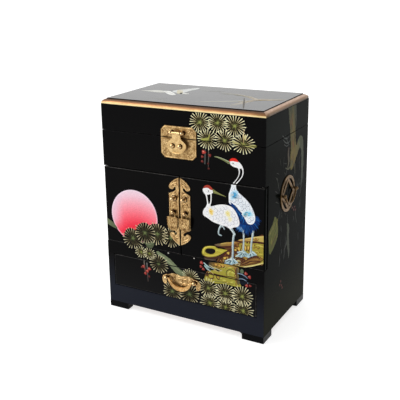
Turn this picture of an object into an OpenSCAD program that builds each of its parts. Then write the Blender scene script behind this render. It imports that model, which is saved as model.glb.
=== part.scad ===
// Table-top jewelry armoire: a lacquered case with a lift-up mirror lid over a
// ring tray, a pair of doors over four small drawers, and one wide drawer above
// a bracket-foot base. Millimetres, +Z up, origin at the middle of the base.

/* [Case] */
// Overall width of the lacquered case
case_w = 242; // [236:1:250]
// Depth of the case from its front face to its back face
case_d = 148; // [147:1:156]
// Thickness of the front and side boards
board_t = 10; // [10:0.5:11]
// Thickness of the back boards
back_t = 8; // [6:0.5:8]
// Height of the bracket feet
foot_h = 9; // [8:0.5:10]
// Length of a foot along the front and the back
foot_w = 31; // [28:1:34]
// Length of a foot along the side
foot_d = 27; // [24:1:30]
// Height of the apron board below the wide drawer
apron_h = 26.5; // [25.5:0.5:28]
// Height of the wide drawer's opening
drawer_bay_h = 48.3; // [47:0.1:50]
// Height of the rail between the wide drawer and the doors
rail_h = 18.5; // [17.5:0.1:20]
// Height of the door opening
door_bay_h = 111.2; // [110.8:0.2:114]
// Height of the ring tray's front board
tray_h = 50.5; // [49:0.5:54]
// Gap between the case and the closed lid
lid_gap = 0.6; // [0.5:0.1:0.8]
// Height of the lid with its moulding
lid_h = 43; // [42:0.2:46]

/* [Lid top] */
// Width of the gold moulding seen from above
mould_w = 6.2; // [5:0.1:7]
// Height of the gold moulding
mould_h = 6.1; // [5.5:0.1:6.8]
// How far the top panel stands above its moulding
panel_proud = 1.2; // [0.8:0.1:1.5]
// Thickness of the mirror glass
mirror_t = 2; // [1.5:0.1:3]

/* [Doors and drawers] */
// Thickness of a door
door_t = 9.2; // [9:0.1:9.3]
// Gap above the doors
door_gap_top = 1.3; // [1:0.1:1.5]
// Radius of the door pivot pins
pivot_r = 1.5; // [1.2:0.1:1.6]
// Depth of the wide drawer's box behind its front
drawer_len = 120; // [108:1:124]
// Depth of a small inner drawer
inner_len = 110; // [98:1:112]

/* [Hardware] */
// Thickness of the cast plates
plate_t = 1.2; // [1:0.1:1.4]
// Height of the pair of door lock plates
lock_h = 94; // [93:0.5:96]
// Half distance between the posts of a bail handle
post_x = 21.7; // [21:0.1:22.5]
// Drop of a bail handle below its posts
bail_drop = 15; // [14:0.5:16]
// Radius of a side handle's bar
bail_r = 1.3; // [1.2:0.1:1.5]
// Distance of a bail handle's pin from the face it hangs on
bail_p = 5.0; // [4.7:0.1:5.6]
// Diameter of the side handle's coin plate
coin_d = 49; // [48:1:54]

/* [Hidden] */
$fn = 40;
front_proud = 10.8;   // the hasp's studs stand this far in front of the case
back_proud = 4.8;     // the hinge barrels stand this far behind it
hw = case_w / 2;
yf = -(case_d + back_proud - front_proud) / 2;   // front face
yb = yf + case_d;                                // back face
z_apron = foot_h;
z_draw = z_apron + apron_h;
z_rail = z_draw + drawer_bay_h;
z_door = z_rail + rail_h;
z_tray = z_door + door_bay_h;
z_seam = z_tray + tray_h;
z_lid = z_seam + lid_gap;
z_top = z_lid + lid_h;
z_cap = z_top - mould_h - panel_proud;   // top edge of the lid's boards
in_x = hw - board_t;              // inner face of the side boards
in_y = yb - back_t;               // inner face of the back board
top_board_t = 8;                  // board under the door bay
tray_floor_t = 5;
floor_z = z_draw - 6.6;           // underside of the bottom board
lock_c = z_door + 61.6;           // middle height of the lock plates
hasp_z = z_seam + 7.8;            // height of the hasp's pin
hasp_p = 7;
pull_x = 9.0;                     // the pulls hang this far from the middle
pull_p = 5.4;                     // and this far in front of the doors
slip = 0.05;                      // gap between the pieces of one frame, so each stays separate
drawer_c = z_rail - 17.6;         // height of the wide drawer's handle pin
side_y = yf + 74;                 // middle of the side handle
side_z = z_tray - 28.2;
shelf_z = z_door + 53.4;
upright_t = 6;
col_x0 = 3;                       // half thickness of the middle upright
col_x1 = in_x - upright_t;
inner_y = yf + 20;                // front of the inner drawers
inner_h = 52.4;
hinge_x = 70;
hinge_y = yb + 2.6;
hinge_z = z_seam + lid_gap / 2;
door_z0 = z_door + 0.4;
door_z1 = z_tray - door_gap_top;
pivot_x = hw - 4.5;
pivot_y = yf + door_t / 2;

black = [0.09, 0.09, 0.10];
gold = [0.86, 0.66, 0.40];
brass = [0.78, 0.62, 0.36];
redcloth = [0.55, 0.07, 0.10];

// ---- helpers -------------------------------------------------------------

// a board between two opposite corners
module board(lo, hi) { translate(lo) cube(hi - lo); }

// local x, y lie on the front face and z points out of it
module front(x, z, p = 0) { translate([x, yf - p, z]) rotate([90, 0, 0]) children(); }

// the same on the right side face
module side(y, z, p = 0) { translate([hw + p, y, z]) rotate([90, 0, 90]) children(); }

module both() { children(); mirror([1, 0, 0]) children(); }

// a half outline and its mirror image as one closed outline
function whole(h) = concat(h, [for (i = [len(h) - 1:-1:0]) if (h[i][0] > 0) [-h[i][0], h[i][1]]]);

// bar along local x, centred
module xbar(r, l) { rotate([0, 90, 0]) cylinder(r = r, h = l, center = true); }

// a drop handle: a bar bent to part of a circle, with a pin at each end.
// The pins lie on local x through the origin.
module bail(px, drop, r) {
  half = px - 2.8 - bail_r;
  rr = (half * half + drop * drop) / (2 * drop);
  up = rr - drop;
  a0 = asin(up / rr);
  translate([0, up, 0]) rotate([0, 0, 180 + a0]) rotate_extrude(angle = 180 - 2 * a0, $fn = 72) translate([rr, 0]) circle(r, $fn = 20);
  for (s = [-1, 1]) {
    translate([s * half, 0, 0]) sphere(r + 0.3, $fn = 20);
    translate([s * (half + px + 2.9) / 2, 0, 0]) xbar(1.1, px + 2.9 - half);
  }
}

// a flat swing handle: a crescent with two engraved lines, on the same pins
module crescent(px, drop) {
  xo = px - 3.3;
  xi = xo - 3;
  di = drop - 5.4;
  ro = (xo * xo + drop * drop) / (2 * drop);
  ri = (xi * xi + di * di) / (2 * di);
  difference() {
    translate([0, 0, -1.3]) linear_extrude(2.6) union() {
      intersection() {
        difference() {
          translate([0, ro - drop]) circle(ro, $fn = 96);
          translate([0, ri - di]) circle(ri, $fn = 96);
        }
        translate([-40, -40]) square([80, 40]);
      }
      for (s = [-1, 1]) translate([s * (xo - 1.5), 0]) circle(1.5);
    }
    translate([0, 0, 0.9]) linear_extrude(2) intersection() {
      union() {
        translate([0, ro - drop]) difference() { circle(ro - 1, $fn = 96); circle(ro - 1.6, $fn = 96); }
        translate([0, ri - di]) difference() { circle(ri + 1.5, $fn = 96); circle(ri + 0.9, $fn = 96); }
      }
      translate([-40, -40]) square([80, 36]);
    }
  }
  for (s = [-1, 1]) translate([s * (xo - 1 + px + 2.9) / 2, 0, 0]) xbar(1.1, px + 3.9 - xo);
}

// a ball-headed post standing on local z, cross-bored along local x
module bail_post(p, shank = 1.8, ball = 2.5, bore = 1.15) {
  difference() {
    union() {
      translate([0, 0, plate_t]) cylinder(r = shank, h = p - plate_t);
      translate([0, 0, p]) sphere(ball);
    }
    translate([0, 0, p]) xbar(bore, 4 * ball);
  }
}

// ---- case ----------------------------------------------------------------

module side_panels() { color(black) both() board([in_x, yf + board_t, z_apron], [hw, yb, z_seam]); }

module back_panel() { color(black) board([-in_x, in_y, z_apron], [in_x, yb, z_seam]); }

module tray_front_panel() {
  color(black) difference() {
    board([-hw, yf, z_tray], [hw, yf + board_t, z_seam]);
    both() translate([pivot_x, pivot_y, z_tray - 1]) cylinder(r = pivot_r, h = 7);
  }
}

module tray_floor() { color(redcloth) board([-in_x, yf + board_t, z_tray], [in_x, in_y, z_tray + tray_floor_t]); }

module base_top_board() { color(redcloth) board([-in_x, yf + board_t, z_door - top_board_t], [in_x, in_y, z_door]); }

module base_top_rail() {
  color(black) difference() {
    board([-hw, yf, z_rail], [hw, yf + board_t, z_door]);
    both() translate([pivot_x, pivot_y, z_door - 6]) cylinder(r = pivot_r, h = 7);
  }
}

module apron() { color(black) board([-hw, yf, z_apron], [hw, yf + board_t, z_draw]); }

module base_stiles() { color(black) both() board([in_x, yf, z_draw], [hw, yf + board_t, z_rail]); }

module base_floor() { color(black) board([-in_x, yf + board_t, floor_z], [in_x, in_y, z_draw - 0.6]); }

// outline of one end of a foot seen from the front: a block with a small cove
// where it meets the board above
module foot_outline(w) {
  r = 3.5;
  polygon(concat([[0, 0], [w, 0]],
    [for (a = [180:-15:90]) [w + r + r * cos(a), foot_h - r + r * sin(a)]],
    [[0, foot_h]]));
}

module bracket_feet() {
  t = board_t + 2;
  color(black) both() {
    for (y = [yf + t, yb]) translate([-hw, y, 0]) rotate([90, 0, 0]) linear_extrude(t) foot_outline(foot_w);
    translate([-hw, yf + t, 0]) cube([t, foot_d - t, foot_h]);
    translate([-hw, yb - foot_d, 0]) cube([t, foot_d - t, foot_h]);
  }
}

module bay_uprights() {
  color(black) {
    both() board([col_x1, yf + 12, z_door], [in_x, in_y, z_tray]);
    board([-col_x0, yf + 12, z_door], [col_x0, in_y, z_tray]);
  }
}

module bay_shelves() { color(black) both() board([col_x0, yf + 14, shelf_z], [col_x1, in_y, shelf_z + 4]); }

module drawer_runners() { color([0.62, 0.45, 0.28]) both() board([in_x - 4.2, yf + 11, z_draw - 0.6], [in_x, in_y - 2, z_draw + 11]); }

module tray_dividers() {
  color(redcloth) {
    board([-8, yf + board_t, z_tray + tray_floor_t], [-4, in_y, z_tray + 30]);
    board([-4 + slip, yf + 74, z_tray + tray_floor_t], [in_x, yf + 78, z_tray + 30]);
  }
}

module ring_cushion() {
  color(redcloth) board([-in_x + 1, yf + board_t + 1, z_tray + tray_floor_t], [-9, in_y - 1, z_tray + 23]);
}

// ---- hasp ----------------------------------------------------------------

// plate with notched corners at local -y, square corners at local +y
module hasp_plate(h) {
  polygon(whole([[0, h], [26, h], [26, 5.2], [24.5, 4.4], [23.4, 2.6], [21.4, 1.2], [20.6, 0], [0, 0]]));
}

module hasp_lower_plate() { color(brass) front(0, z_seam - 27.2) linear_extrude(plate_t) hasp_plate(26.9); }

module hasp_upper_plate() { color(brass) front(0, z_lid + 15) rotate([0, 0, 180]) linear_extrude(plate_t) hasp_plate(14.7); }

module nail_head() { cylinder(r = 1.1, h = 0.5); }

module hasp_lower_nails() {
  color(brass) for (x = [-20.5, 20.5], z = [z_seam - 4.2, z_seam - 20.2]) front(x, z, plate_t) nail_head();
}

module hasp_upper_nails() { color(brass) for (x = [-20.5, 20.5]) front(x, z_lid + 9.2, plate_t) nail_head(); }

module hasp_eyelets() {
  color(brass) for (s = [-1, 1]) front(s * 8.4, hasp_z) difference() {
    union() {
      translate([0, 0, plate_t]) cylinder(r = 1.5, h = hasp_p - plate_t);
      translate([0, 0, hasp_p]) sphere(2.4);
    }
    translate([0, 0, hasp_p]) xbar(1.1, 8);
  }
}

module hasp_pin() { color(brass) front(0, hasp_z, hasp_p) xbar(1.1, 21.6); }

module hasp_tongue() {
  t = 1.4;
  color(brass) front(0, hasp_z, hasp_p) {
    difference() {
      union() {
        xbar(2.1, 11.4);
        translate([0, 0, -t / 2 - 1]) linear_extrude(t) polygon(whole([[0, -1.2], [5.7, -1.2], [5.8, -4], [6.4, -6.6],
          [8.2, -9], [10.8, -10.8], [13.2, -13.2], [14.2, -16], [13.9, -18.6], [12.6, -21.2], [10.6, -23.4],
          [8.4, -25.2], [6.2, -26.4], [5, -27.2], [0, -27.4]]));
        translate([0, -26.7, -0.6]) xbar(1.3, 9.6);
      }
      xbar(1.15, 20);
      // round recesses that the ball studs sit in
      for (s = [-1, 1]) translate([s * 5.5, -17, -1.3]) cylinder(r = 3.7, h = 3);
    }
  }
}

module hasp_studs() {
  color(brass) for (s = [-1, 1]) front(s * 5.5, hasp_z - 17, hasp_p - 1.3) intersection() {
    translate([0, 0, 2.1]) sphere(3);
    cylinder(r = 4, h = 6);
  }
}

// ---- lid -----------------------------------------------------------------

module lid_front_board() { color(black) board([-hw, yf, z_lid], [hw, yf + board_t, z_cap]); }

module lid_back_board() { color(black) board([-in_x, in_y, z_lid], [in_x, yb, z_cap]); }

module lid_side_boards() { color(black) both() board([in_x, yf + board_t, z_lid], [hw, yb, z_cap]); }

module lid_top_panel() {
  color([0.13, 0.13, 0.14]) board([-hw + mould_w + 0.1, yf + mould_w + 0.1, z_cap], [hw - mould_w - 0.1, yb - mould_w - 0.1, z_top]);
}

// rounded section of the moulding: local x runs inwards, local y up
module mould_section() {
  w = mould_w;
  h = mould_h;
  back = 0.5;                     // set back from the boards' faces
  r = w * 0.92 - back;
  polygon(concat([[back, 0], [w, 0], [w, h]],
    [for (i = [0:8]) let (a = 90 + i * 10) [back + r + r * cos(a), h * 0.45 + h * 0.55 * sin(a)]]));
}

// a strip of moulding along local +x, both ends mitred at 45 degrees
module mould_strip(l) {
  intersection() {
    translate([l / 2, 0, 0]) rotate([90, 0, 90]) translate([0, 0, -l / 2]) linear_extrude(l) mould_section();
    translate([0, 0, -1]) linear_extrude(mould_h + 2) polygon([[slip, 0], [l - slip, 0], [l - mould_w - slip, mould_w], [mould_w + slip, mould_w]]);
  }
}

module lid_moulding() {
  color(gold) {
    translate([-hw, yf, z_cap]) mould_strip(case_w);
    translate([hw, yb, z_cap]) rotate([0, 0, 180]) mould_strip(case_w);
    translate([hw, yf, z_cap]) rotate([0, 0, 90]) mould_strip(case_d);
    translate([-hw, yb, z_cap]) rotate([0, 0, -90]) mould_strip(case_d);
  }
}

module lid_mirror() {
  color([0.75, 0.8, 0.82]) board([-in_x + 7, yf + board_t + 6, z_cap - mirror_t], [in_x - 7, in_y - 6, z_cap]);
}

// ---- lid hinges ----------------------------------------------------------

// leaf on local x/y with its barrel along local x; the other leaf's share of
// the barrel is cut away
module leaf(up, inner) {
  l = 32;
  k = 11.4;
  e = (l - k - 0.6) / 2;
  difference() {
    union() {
      translate([-l / 2, up ? lid_gap / 2 + 0.1 : -13.4, -2.6]) cube([l, 13.3 - lid_gap / 2, 1]);
      if (inner) xbar(2.2, k);
      else for (s = [-1, 1]) translate([s * (k / 2 + 0.3 + e / 2), 0, 0]) xbar(2.2, e);
    }
    if (inner) for (s = [-1, 1]) translate([s * (k / 2 + e / 2 + 1.3), 0, 0]) xbar(2.5, e + 2);
    else xbar(2.5, k + 0.6);
    xbar(1, 60);
  }
}

module case_hinge_leaves() { color(brass) for (x = [-hinge_x, hinge_x]) translate([x, hinge_y, hinge_z]) rotate([90, 0, 180]) leaf(false, false); }

module lid_hinge_leaves() { color(brass) for (x = [-hinge_x, hinge_x]) translate([x, hinge_y, hinge_z]) rotate([90, 0, 180]) leaf(true, true); }

module hinge_pins() { color(brass) for (x = [-hinge_x, hinge_x]) translate([x, hinge_y, hinge_z]) xbar(0.95, 33); }

// ---- doors ---------------------------------------------------------------

// plan of the right door: rounded round its pivot at the outer edge
module door_plan() {
  x1 = hw;
  x0 = 0.7;
  y1 = yf + door_t;
  rf = 2;
  rb = 4.5;
  polygon(concat([[x0, yf]],
    [for (a = [-90:15:0]) [x1 - rf + rf * cos(a), yf + rf + rf * sin(a)]],
    [for (a = [0:10:90]) [x1 - rb + rb * cos(a), y1 - rb + rb * sin(a)]],
    [[x0, y1]]));
}

module door_right_panel() {
  color(black) difference() {
    translate([0, 0, door_z0]) linear_extrude(door_z1 - door_z0) door_plan();
    translate([pivot_x, pivot_y, door_z0 - 1]) cylinder(r = pivot_r + 0.05, h = 7.5);
    translate([pivot_x, pivot_y, door_z1 - 6.5]) cylinder(r = pivot_r + 0.05, h = 7.5);
  }
}

module door_left_panel() { mirror([1, 0, 0]) door_right_panel(); }

module door_pivots() {
  color([0.7, 0.68, 0.62]) both() {
    translate([pivot_x, pivot_y, z_door - 6]) cylinder(r = pivot_r, h = 6 + 0.4 + 6);
    translate([pivot_x, pivot_y, door_z1 - 6]) cylinder(r = pivot_r, h = 6 + door_gap_top + 6);
  }
}

module door_stop_pins() { color([0.8, 0.8, 0.78]) for (x = [-20, 20]) front(x, z_door - 1) cylinder(r = 0.9, h = 0.5); }

// half of the cloud-headed lock plate: the inner edge is straight, each end
// is a scalloped head with a curled hook
function lock_end(s) = let (h = lock_h / 2) [[1.1, s * h], [4, s * (h - 1.3)], [7.6, s * (h - 3.1)], [8.8, s * (h - 4.5)],
  [10.8, s * (h - 5.5)], [12.8, s * (h - 8.1)], [14.2, s * (h - 9.3)], [15.8, s * (h - 11.9)], [16, s * (h - 14.1)], [14.6, s * (h - 16.1)],
  [12.4, s * (h - 16.9)], [10.2, s * (h - 16.7)], [8.6, s * (h - 15.5)], [8.2, s * (h - 13.9)], [6.8, s * (h - 13.3)],
  [5.4, s * (h - 14.1)], [5.2, s * (h - 15.9)], [6.2, s * (h - 17.7)], [8.4, s * (h - 19.3)], [11.4, s * (h - 20.9)],
  [14.6, s * (h - 22.1)], [16, s * (h - 23.5)]];

module lock_half() {
  polygon(concat(lock_end(1), [for (i = [21:-1:0]) lock_end(-1)[i]]));
}

module lock_plate_right() { color(brass) front(0, lock_c) linear_extrude(plate_t) lock_half(); }

module lock_plate_left() { mirror([1, 0, 0]) lock_plate_right(); }

module lock_posts_right() {
  color(brass) {
    front(7.8, lock_c + 18.7) {
      translate([0, 0, plate_t]) cylinder(r = 3.1, h = 0.9);
      translate([0, 0, plate_t]) cylinder(r = 1.9, h = 7.4 - plate_t);
      translate([0, 0, 7.4]) sphere(2.9);
    }
    front(pull_x, lock_c - 0.8) bail_post(pull_p, 1.6, 2.4, 0.75);
  }
}

module lock_posts_left() { mirror([1, 0, 0]) lock_posts_right(); }

// scalloped drop pull on a wire loop; the loop's bar lies on local x
module pendant() {
  t = 1.6;
  translate([0, 0, -t / 2]) linear_extrude(t) difference() {
    polygon(whole([[0, -6.2], [7.1, -6.2], [8.1, -6.9], [7.4, -8.2], [8.3, -9.4], [8.2, -10.8], [7.4, -11.7], [8.2, -12.9],
      [8.1, -14.4], [7.2, -15.3], [7.7, -16.6], [7.4, -18.2], [6.7, -19], [6.8, -20.4], [5.8, -21.8], [4.8, -22.4],
      [4.1, -23.8], [2.2, -24.8], [0, -25.2]]));
    translate([0, -20.6]) circle(1.2);
  }
  xbar(0.7, 7.2);
  for (s = [-1, 1]) {
    translate([s * 3.6, 0, 0]) sphere(0.7);
    translate([s * 3.6, 0, 0]) rotate([90, 0, 0]) cylinder(r = 0.7, h = 7.6);
  }
}

module pendant_right() { color(brass) front(pull_x, lock_c - 0.8, pull_p) pendant(); }

module pendant_left() { mirror([1, 0, 0]) pendant_right(); }

// ---- wide drawer ---------------------------------------------------------

module drawer_front() { color(black) board([-in_x + 0.7, yf, z_draw + 0.8], [in_x - 0.7, yf + board_t, z_rail - 0.8]); }

module drawer_walls() {
  z0 = z_draw;
  x1 = in_x - 4.8;
  y0 = yf + board_t;
  y1 = y0 + drawer_len;
  color([0.62, 0.45, 0.28]) {
    both() board([x1 - 5, y0, z0], [x1, y1, z0 + 39.8]);
    board([-x1 + 5 + slip, y1 - 5, z0], [x1 - 5 - slip, y1, z0 + 39.8]);
  }
}

module drawer_bottom() {
  x1 = in_x - 9.8;
  color(redcloth) board([-x1, yf + board_t, z_draw], [x1, yf + board_t + drawer_len - 5, z_draw + 4]);
}

// plate of the wide drawer's handle: a crescent with a curled lobe at each end
module drawer_plate() {
  color(brass) front(0, drawer_c) linear_extrude(plate_t) polygon(whole([[0, 4.8], [2.5, 5.8], [6, 6.4], [9, 7], [13, 6.9], [17, 5.8],
    [20, 4.2], [23, 4], [26, 3], [28.6, 1], [30, -2], [29.8, -5.6], [28.8, -8.6], [27, -10.8], [25, -11.2], [23.4, -10], [22.8, -7.6],
    [23.2, -5.2], [22, -3.6], [20, -3.4], [17.5, -4.8], [14, -7.6], [10, -10.2], [5, -11.8], [0, -12.3]]));
}

module drawer_posts() { color(brass) for (s = [-1, 1]) front(s * post_x, drawer_c) bail_post(bail_p, 2, 2.8); }

module drawer_bail() { color(brass) front(0, drawer_c, bail_p) crescent(post_x, bail_drop); }

// ---- side handles --------------------------------------------------------

// pierced coin plate: a ring round a square frame that stands on its corner
module coin_plate() {
  r = coin_d / 2;
  a = (r - 2) * sqrt(2);
  difference() {
    circle(r, $fn = 72);
    difference() {
      circle(r - 4, $fn = 72);
      rotate(45) square(a, center = true);
    }
    rotate(45) square(a - 8, center = true);
  }
}

module side_plates() { color(brass) both() side(side_y, side_z) linear_extrude(plate_t) coin_plate(); }

module side_posts() { color(brass) both() for (s = [-1, 1]) side(side_y + s * post_x, side_z + 2) bail_post(bail_p, 1.7, 2.3); }

module side_bail_right() { color(brass) side(side_y, side_z + 2, bail_p) bail(post_x, bail_drop, bail_r); }

module side_bail_left() { mirror([1, 0, 0]) side_bail_right(); }

// ---- inner drawers -------------------------------------------------------

// open box between col_x0 and col_x1, its bottom at z
module inner_drawer(z) {
  g = 0.6;
  x0 = col_x0 + g;
  x1 = col_x1 - g;
  color(black) difference() {
    board([x0, inner_y, z], [x1, inner_y + inner_len, z + inner_h]);
    board([x0 + 5, inner_y + 7, z + 4], [x1 - 5, inner_y + inner_len - 5, z + inner_h + 1]);
  }
}

module inner_knob(z) {
  color(brass) translate([(col_x0 + col_x1) / 2, inner_y, z + inner_h / 2]) rotate([90, 0, 0]) {
    cylinder(r = 1.6, h = 4);
    translate([0, 0, 4]) sphere(3);
  }
}

z_low = z_door + 0.5;
z_high = shelf_z + 4.5;

module inner_drawer_ru() { inner_drawer(z_high); }
module inner_drawer_rl() { inner_drawer(z_low); }
module inner_drawer_lu() { mirror([1, 0, 0]) inner_drawer(z_high); }
module inner_drawer_ll() { mirror([1, 0, 0]) inner_drawer(z_low); }
module inner_knob_ru() { inner_knob(z_high); }
module inner_knob_rl() { inner_knob(z_low); }
module inner_knob_lu() { mirror([1, 0, 0]) inner_knob(z_high); }
module inner_knob_ll() { mirror([1, 0, 0]) inner_knob(z_low); }

// ---- assembly ------------------------------------------------------------

side_panels();
back_panel();
tray_front_panel();
tray_floor();
base_top_board();
base_top_rail();
apron();
base_stiles();
base_floor();
bracket_feet();
bay_uprights();
bay_shelves();
drawer_runners();
tray_dividers();
ring_cushion();
hasp_lower_plate();
hasp_lower_nails();
case_hinge_leaves();
hinge_pins();
door_pivots();
door_stop_pins();
side_plates();
side_posts();
lid_front_board();
lid_back_board();
lid_side_boards();
lid_top_panel();
lid_moulding();
lid_mirror();
hasp_upper_plate();
hasp_upper_nails();
hasp_eyelets();
hasp_pin();
lid_hinge_leaves();
hasp_tongue();
hasp_studs();
door_left_panel();
door_right_panel();
lock_plate_left();
lock_plate_right();
lock_posts_left();
lock_posts_right();
pendant_left();
pendant_right();
drawer_front();
drawer_walls();
drawer_bottom();
drawer_plate();
drawer_posts();
drawer_bail();
side_bail_left();
side_bail_right();
inner_drawer_lu();
inner_drawer_ll();
inner_drawer_ru();
inner_drawer_rl();
inner_knob_lu();
inner_knob_ll();
inner_knob_ru();
inner_knob_rl();
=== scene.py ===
import math
import random

import bmesh
import bpy
from mathutils import Matrix, Vector, noise
from mathutils.geometry import tessellate_polygon


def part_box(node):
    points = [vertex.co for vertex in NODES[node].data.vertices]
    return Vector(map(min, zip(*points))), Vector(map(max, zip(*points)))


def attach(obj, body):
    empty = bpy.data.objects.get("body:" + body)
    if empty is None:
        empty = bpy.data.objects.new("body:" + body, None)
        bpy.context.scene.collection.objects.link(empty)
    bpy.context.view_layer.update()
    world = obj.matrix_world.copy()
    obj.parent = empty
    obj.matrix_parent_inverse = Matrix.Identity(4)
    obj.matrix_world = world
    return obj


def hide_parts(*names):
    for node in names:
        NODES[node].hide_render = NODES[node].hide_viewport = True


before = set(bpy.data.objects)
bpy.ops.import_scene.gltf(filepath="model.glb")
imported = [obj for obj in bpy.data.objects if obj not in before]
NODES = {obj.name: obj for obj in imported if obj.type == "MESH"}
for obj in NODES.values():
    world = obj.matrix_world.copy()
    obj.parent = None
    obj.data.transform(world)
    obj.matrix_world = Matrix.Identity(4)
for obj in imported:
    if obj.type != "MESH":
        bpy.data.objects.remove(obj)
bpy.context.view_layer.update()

MM = 0.001
rnd = random.Random(7)


def mbox(node):
    """A CAD node's box at rest, in millimetres."""
    lo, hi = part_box(node)
    return lo / MM, hi / MM


# ---- levels read from the frame -------------------------------------------

_tray = mbox("tray_front_panel")
_back = mbox("back_panel")
_lidf = mbox("lid_front_board")
_mould = mbox("lid_moulding")
_rail = mbox("base_top_rail")
_apron = mbox("apron")
_doorr = mbox("door_right_panel")
_drawf = mbox("drawer_front")
_panel = mbox("lid_top_panel")
HW = _tray[1].x
YF = _tray[0].y
YB = _back[1].y
IN_X = _back[1].x
IN_Y = _back[0].y
Z_APRON, Z_DRAW = _apron[0].z, _apron[1].z
Z_RAIL, Z_DOOR = _rail[0].z, _rail[1].z
Z_TRAY, Z_SEAM = _tray[0].z, _tray[1].z
Z_LID, Z_CAP = _lidf[0].z, _lidf[1].z
Z_TOP = _mould[1].z
D0, D1 = _doorr[0].z, _doorr[1].z
LOCK_C = sum(v.z for v in mbox("lock_plate_right")) / 2
SIDE = [(a + b) / 2 for a, b in zip(*mbox("side_bail_right"))]
POST_X = mbox("drawer_posts")[1].x - 2.5
DRAWER_C = mbox("drawer_plate")[1].z - 7
HASP_Z = sum(v.z for v in mbox("hasp_pin")) / 2
_sb = mbox("side_posts")
SIDE_Y = (_sb[0].y + _sb[1].y) / 2
SIDE_ZP = (_sb[0].z + _sb[1].z) / 2
_coin = mbox("side_plates")
SIDE_Z = (_coin[0].z + _coin[1].z) / 2
COIN_R = (_coin[1].z - _coin[0].z) / 2
PLATE_T = _coin[1].x - HW


# ---- materials --------------------------------------------------------------

def lin(c):
    """sRGB 0-255 to linear, with alpha."""
    out = []
    for v in c[:3]:
        v = v / 255
        out.append(v / 12.92 if v <= 0.04045 else ((v + 0.055) / 1.055) ** 2.4)
    return (*out, 1.0)


class Mat:
    def __init__(self, name, **const):
        self.m = bpy.data.materials.new(name)
        self.m.use_nodes = True
        self.nt = self.m.node_tree
        self.p = self.nt.nodes["Principled BSDF"]
        for k, v in const.items():
            self.p.inputs[k.replace("_", " ")].default_value = v
        self.co = self.nt.nodes.new("ShaderNodeTexCoord").outputs["Object"]

    def n(self, kind, ins, out=0, **props):
        node = self.nt.nodes.new("ShaderNode" + kind)
        for k, v in props.items():
            setattr(node, k, v)
        for k, v in ins.items():
            s = node.inputs[k]
            if isinstance(v, bpy.types.NodeSocket):
                self.nt.links.new(v, s)
            else:
                s.default_value = v
        return node.outputs[out]

    def set(self, **ins):
        for k, v in ins.items():
            self.nt.links.new(v, self.p.inputs[k.replace("_", " ")])
        return self

    def scaled(self, x, y, z):
        return self.n("Mapping", {"Vector": self.co, "Scale": (x, y, z)})

    def noise(self, scale, detail=3.0, rough=0.5, dist=0.0, vec=None):
        return self.n("TexNoise", {"Vector": vec or self.co, "Scale": scale, "Detail": detail,
                                   "Roughness": rough, "Distortion": dist})

    def voronoi(self, scale, vec=None, feature="F1", out=0):
        return self.n("TexVoronoi", {"Vector": vec or self.co, "Scale": scale}, out, feature=feature)

    def wave(self, scale, dist=2.0, detail=2.0, vec=None, dscale=1.0):
        return self.n("TexWave", {"Vector": vec or self.co, "Scale": scale, "Distortion": dist,
                                  "Detail": detail, "Detail Scale": dscale}, 1)

    def ramp(self, fac, stops):
        node = self.nt.nodes.new("ShaderNodeValToRGB")
        el = node.color_ramp.elements
        while len(el) < len(stops):
            el.new(0.5)
        for e, (p, c) in zip(el, stops):
            e.position = p
            e.color = c if len(c) == 4 else (*c, 1)
        self.nt.links.new(fac, node.inputs[0])
        return node.outputs[0]

    def mono(self, fac, p0, v0, p1, v1):
        return self.n("MapRange", {0: fac, 1: p0, 2: p1, 3: v0, 4: v1})

    def mix(self, fac, a, b, blend="MIX"):
        return self.n("Mix", {0: fac, 6: a, 7: b}, 2, data_type="RGBA", blend_type=blend)

    def math(self, op, a, b=0.0):
        return self.n("Math", {0: a, 1: b}, 0, operation=op)

    def attr(self, name, out="Color"):
        return self.n("Attribute", {}, out, attribute_name=name)

    def bump(self, h, strength=0.5, dist=0.0001, normal=None):
        ins = {"Height": h, "Strength": strength, "Distance": dist}
        if normal is not None:
            ins["Normal"] = normal
        return self.n("Bump", ins)


def lacquer(name, dark, warm, ior, rough=0.14, low=None, arris=0.22, high=None):
    """Hand-rubbed dark lacquer: a slow change of depth, fine rubbing marks, and a grey on the rounded arris that is
    partly wear and partly a painted edge highlight.
    low tints the coat near the foot as a painted reflection of the floor; high tints it on the lid."""
    m = Mat(name, IOR=ior)
    slow = m.noise(9, 3, 0.55)
    col = m.mix(m.mono(slow, 0.35, 0.0, 0.7, 1.0), lin(dark), lin(warm))
    # low: the coat grows lighter towards the foot, a painted reflection of the floor
    if low:
        z = m.n("SeparateXYZ", {0: m.co}, 2)
        down = m.mono(m.math("ADD", z, m.math("MULTIPLY", m.math("SUBTRACT", slow, 0.5), 0.02)), 0.03, 1.0, 0.082, 0.0)
        col = m.mix(down, col, lin(low))
    if high:
        z = m.n("SeparateXYZ", {0: m.co}, 2)
        up = m.mono(m.math("ADD", z, m.math("MULTIPLY", m.math("SUBTRACT", slow, 0.5), 0.02)), 0.235, 0.0, 0.275, 1.0)
        col = m.mix(up, col, lin(high))
    # grey on the rounded edges: partly wear, partly a painted edge highlight
    wear_highlight = m.attr("EdgeWearHighlight", "Fac")
    patch = m.mono(m.noise(300, 3, 0.6), 0.5, 0.0, 0.7, 1.0)
    col = m.mix(m.math("MULTIPLY", m.math("MULTIPLY", wear_highlight, patch if arris < 0.5 else m.math("ADD", patch, 0.5)), arris), col, lin((74, 72, 70)))
    fine = m.noise(1.0, 4, 0.6, 0.0, m.scaled(900, 900, 120))
    m.set(Base_Color=col, Roughness=m.mono(m.noise(40, 4, 0.6), 0.3, rough * 0.75, 0.75, rough * 1.5))
    big = m.bump(m.noise(26, 2, 0.5), 0.05, 0.0006)
    m.set(Normal=m.bump(fine, 0.03, 0.00005, big))
    return m.m


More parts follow.
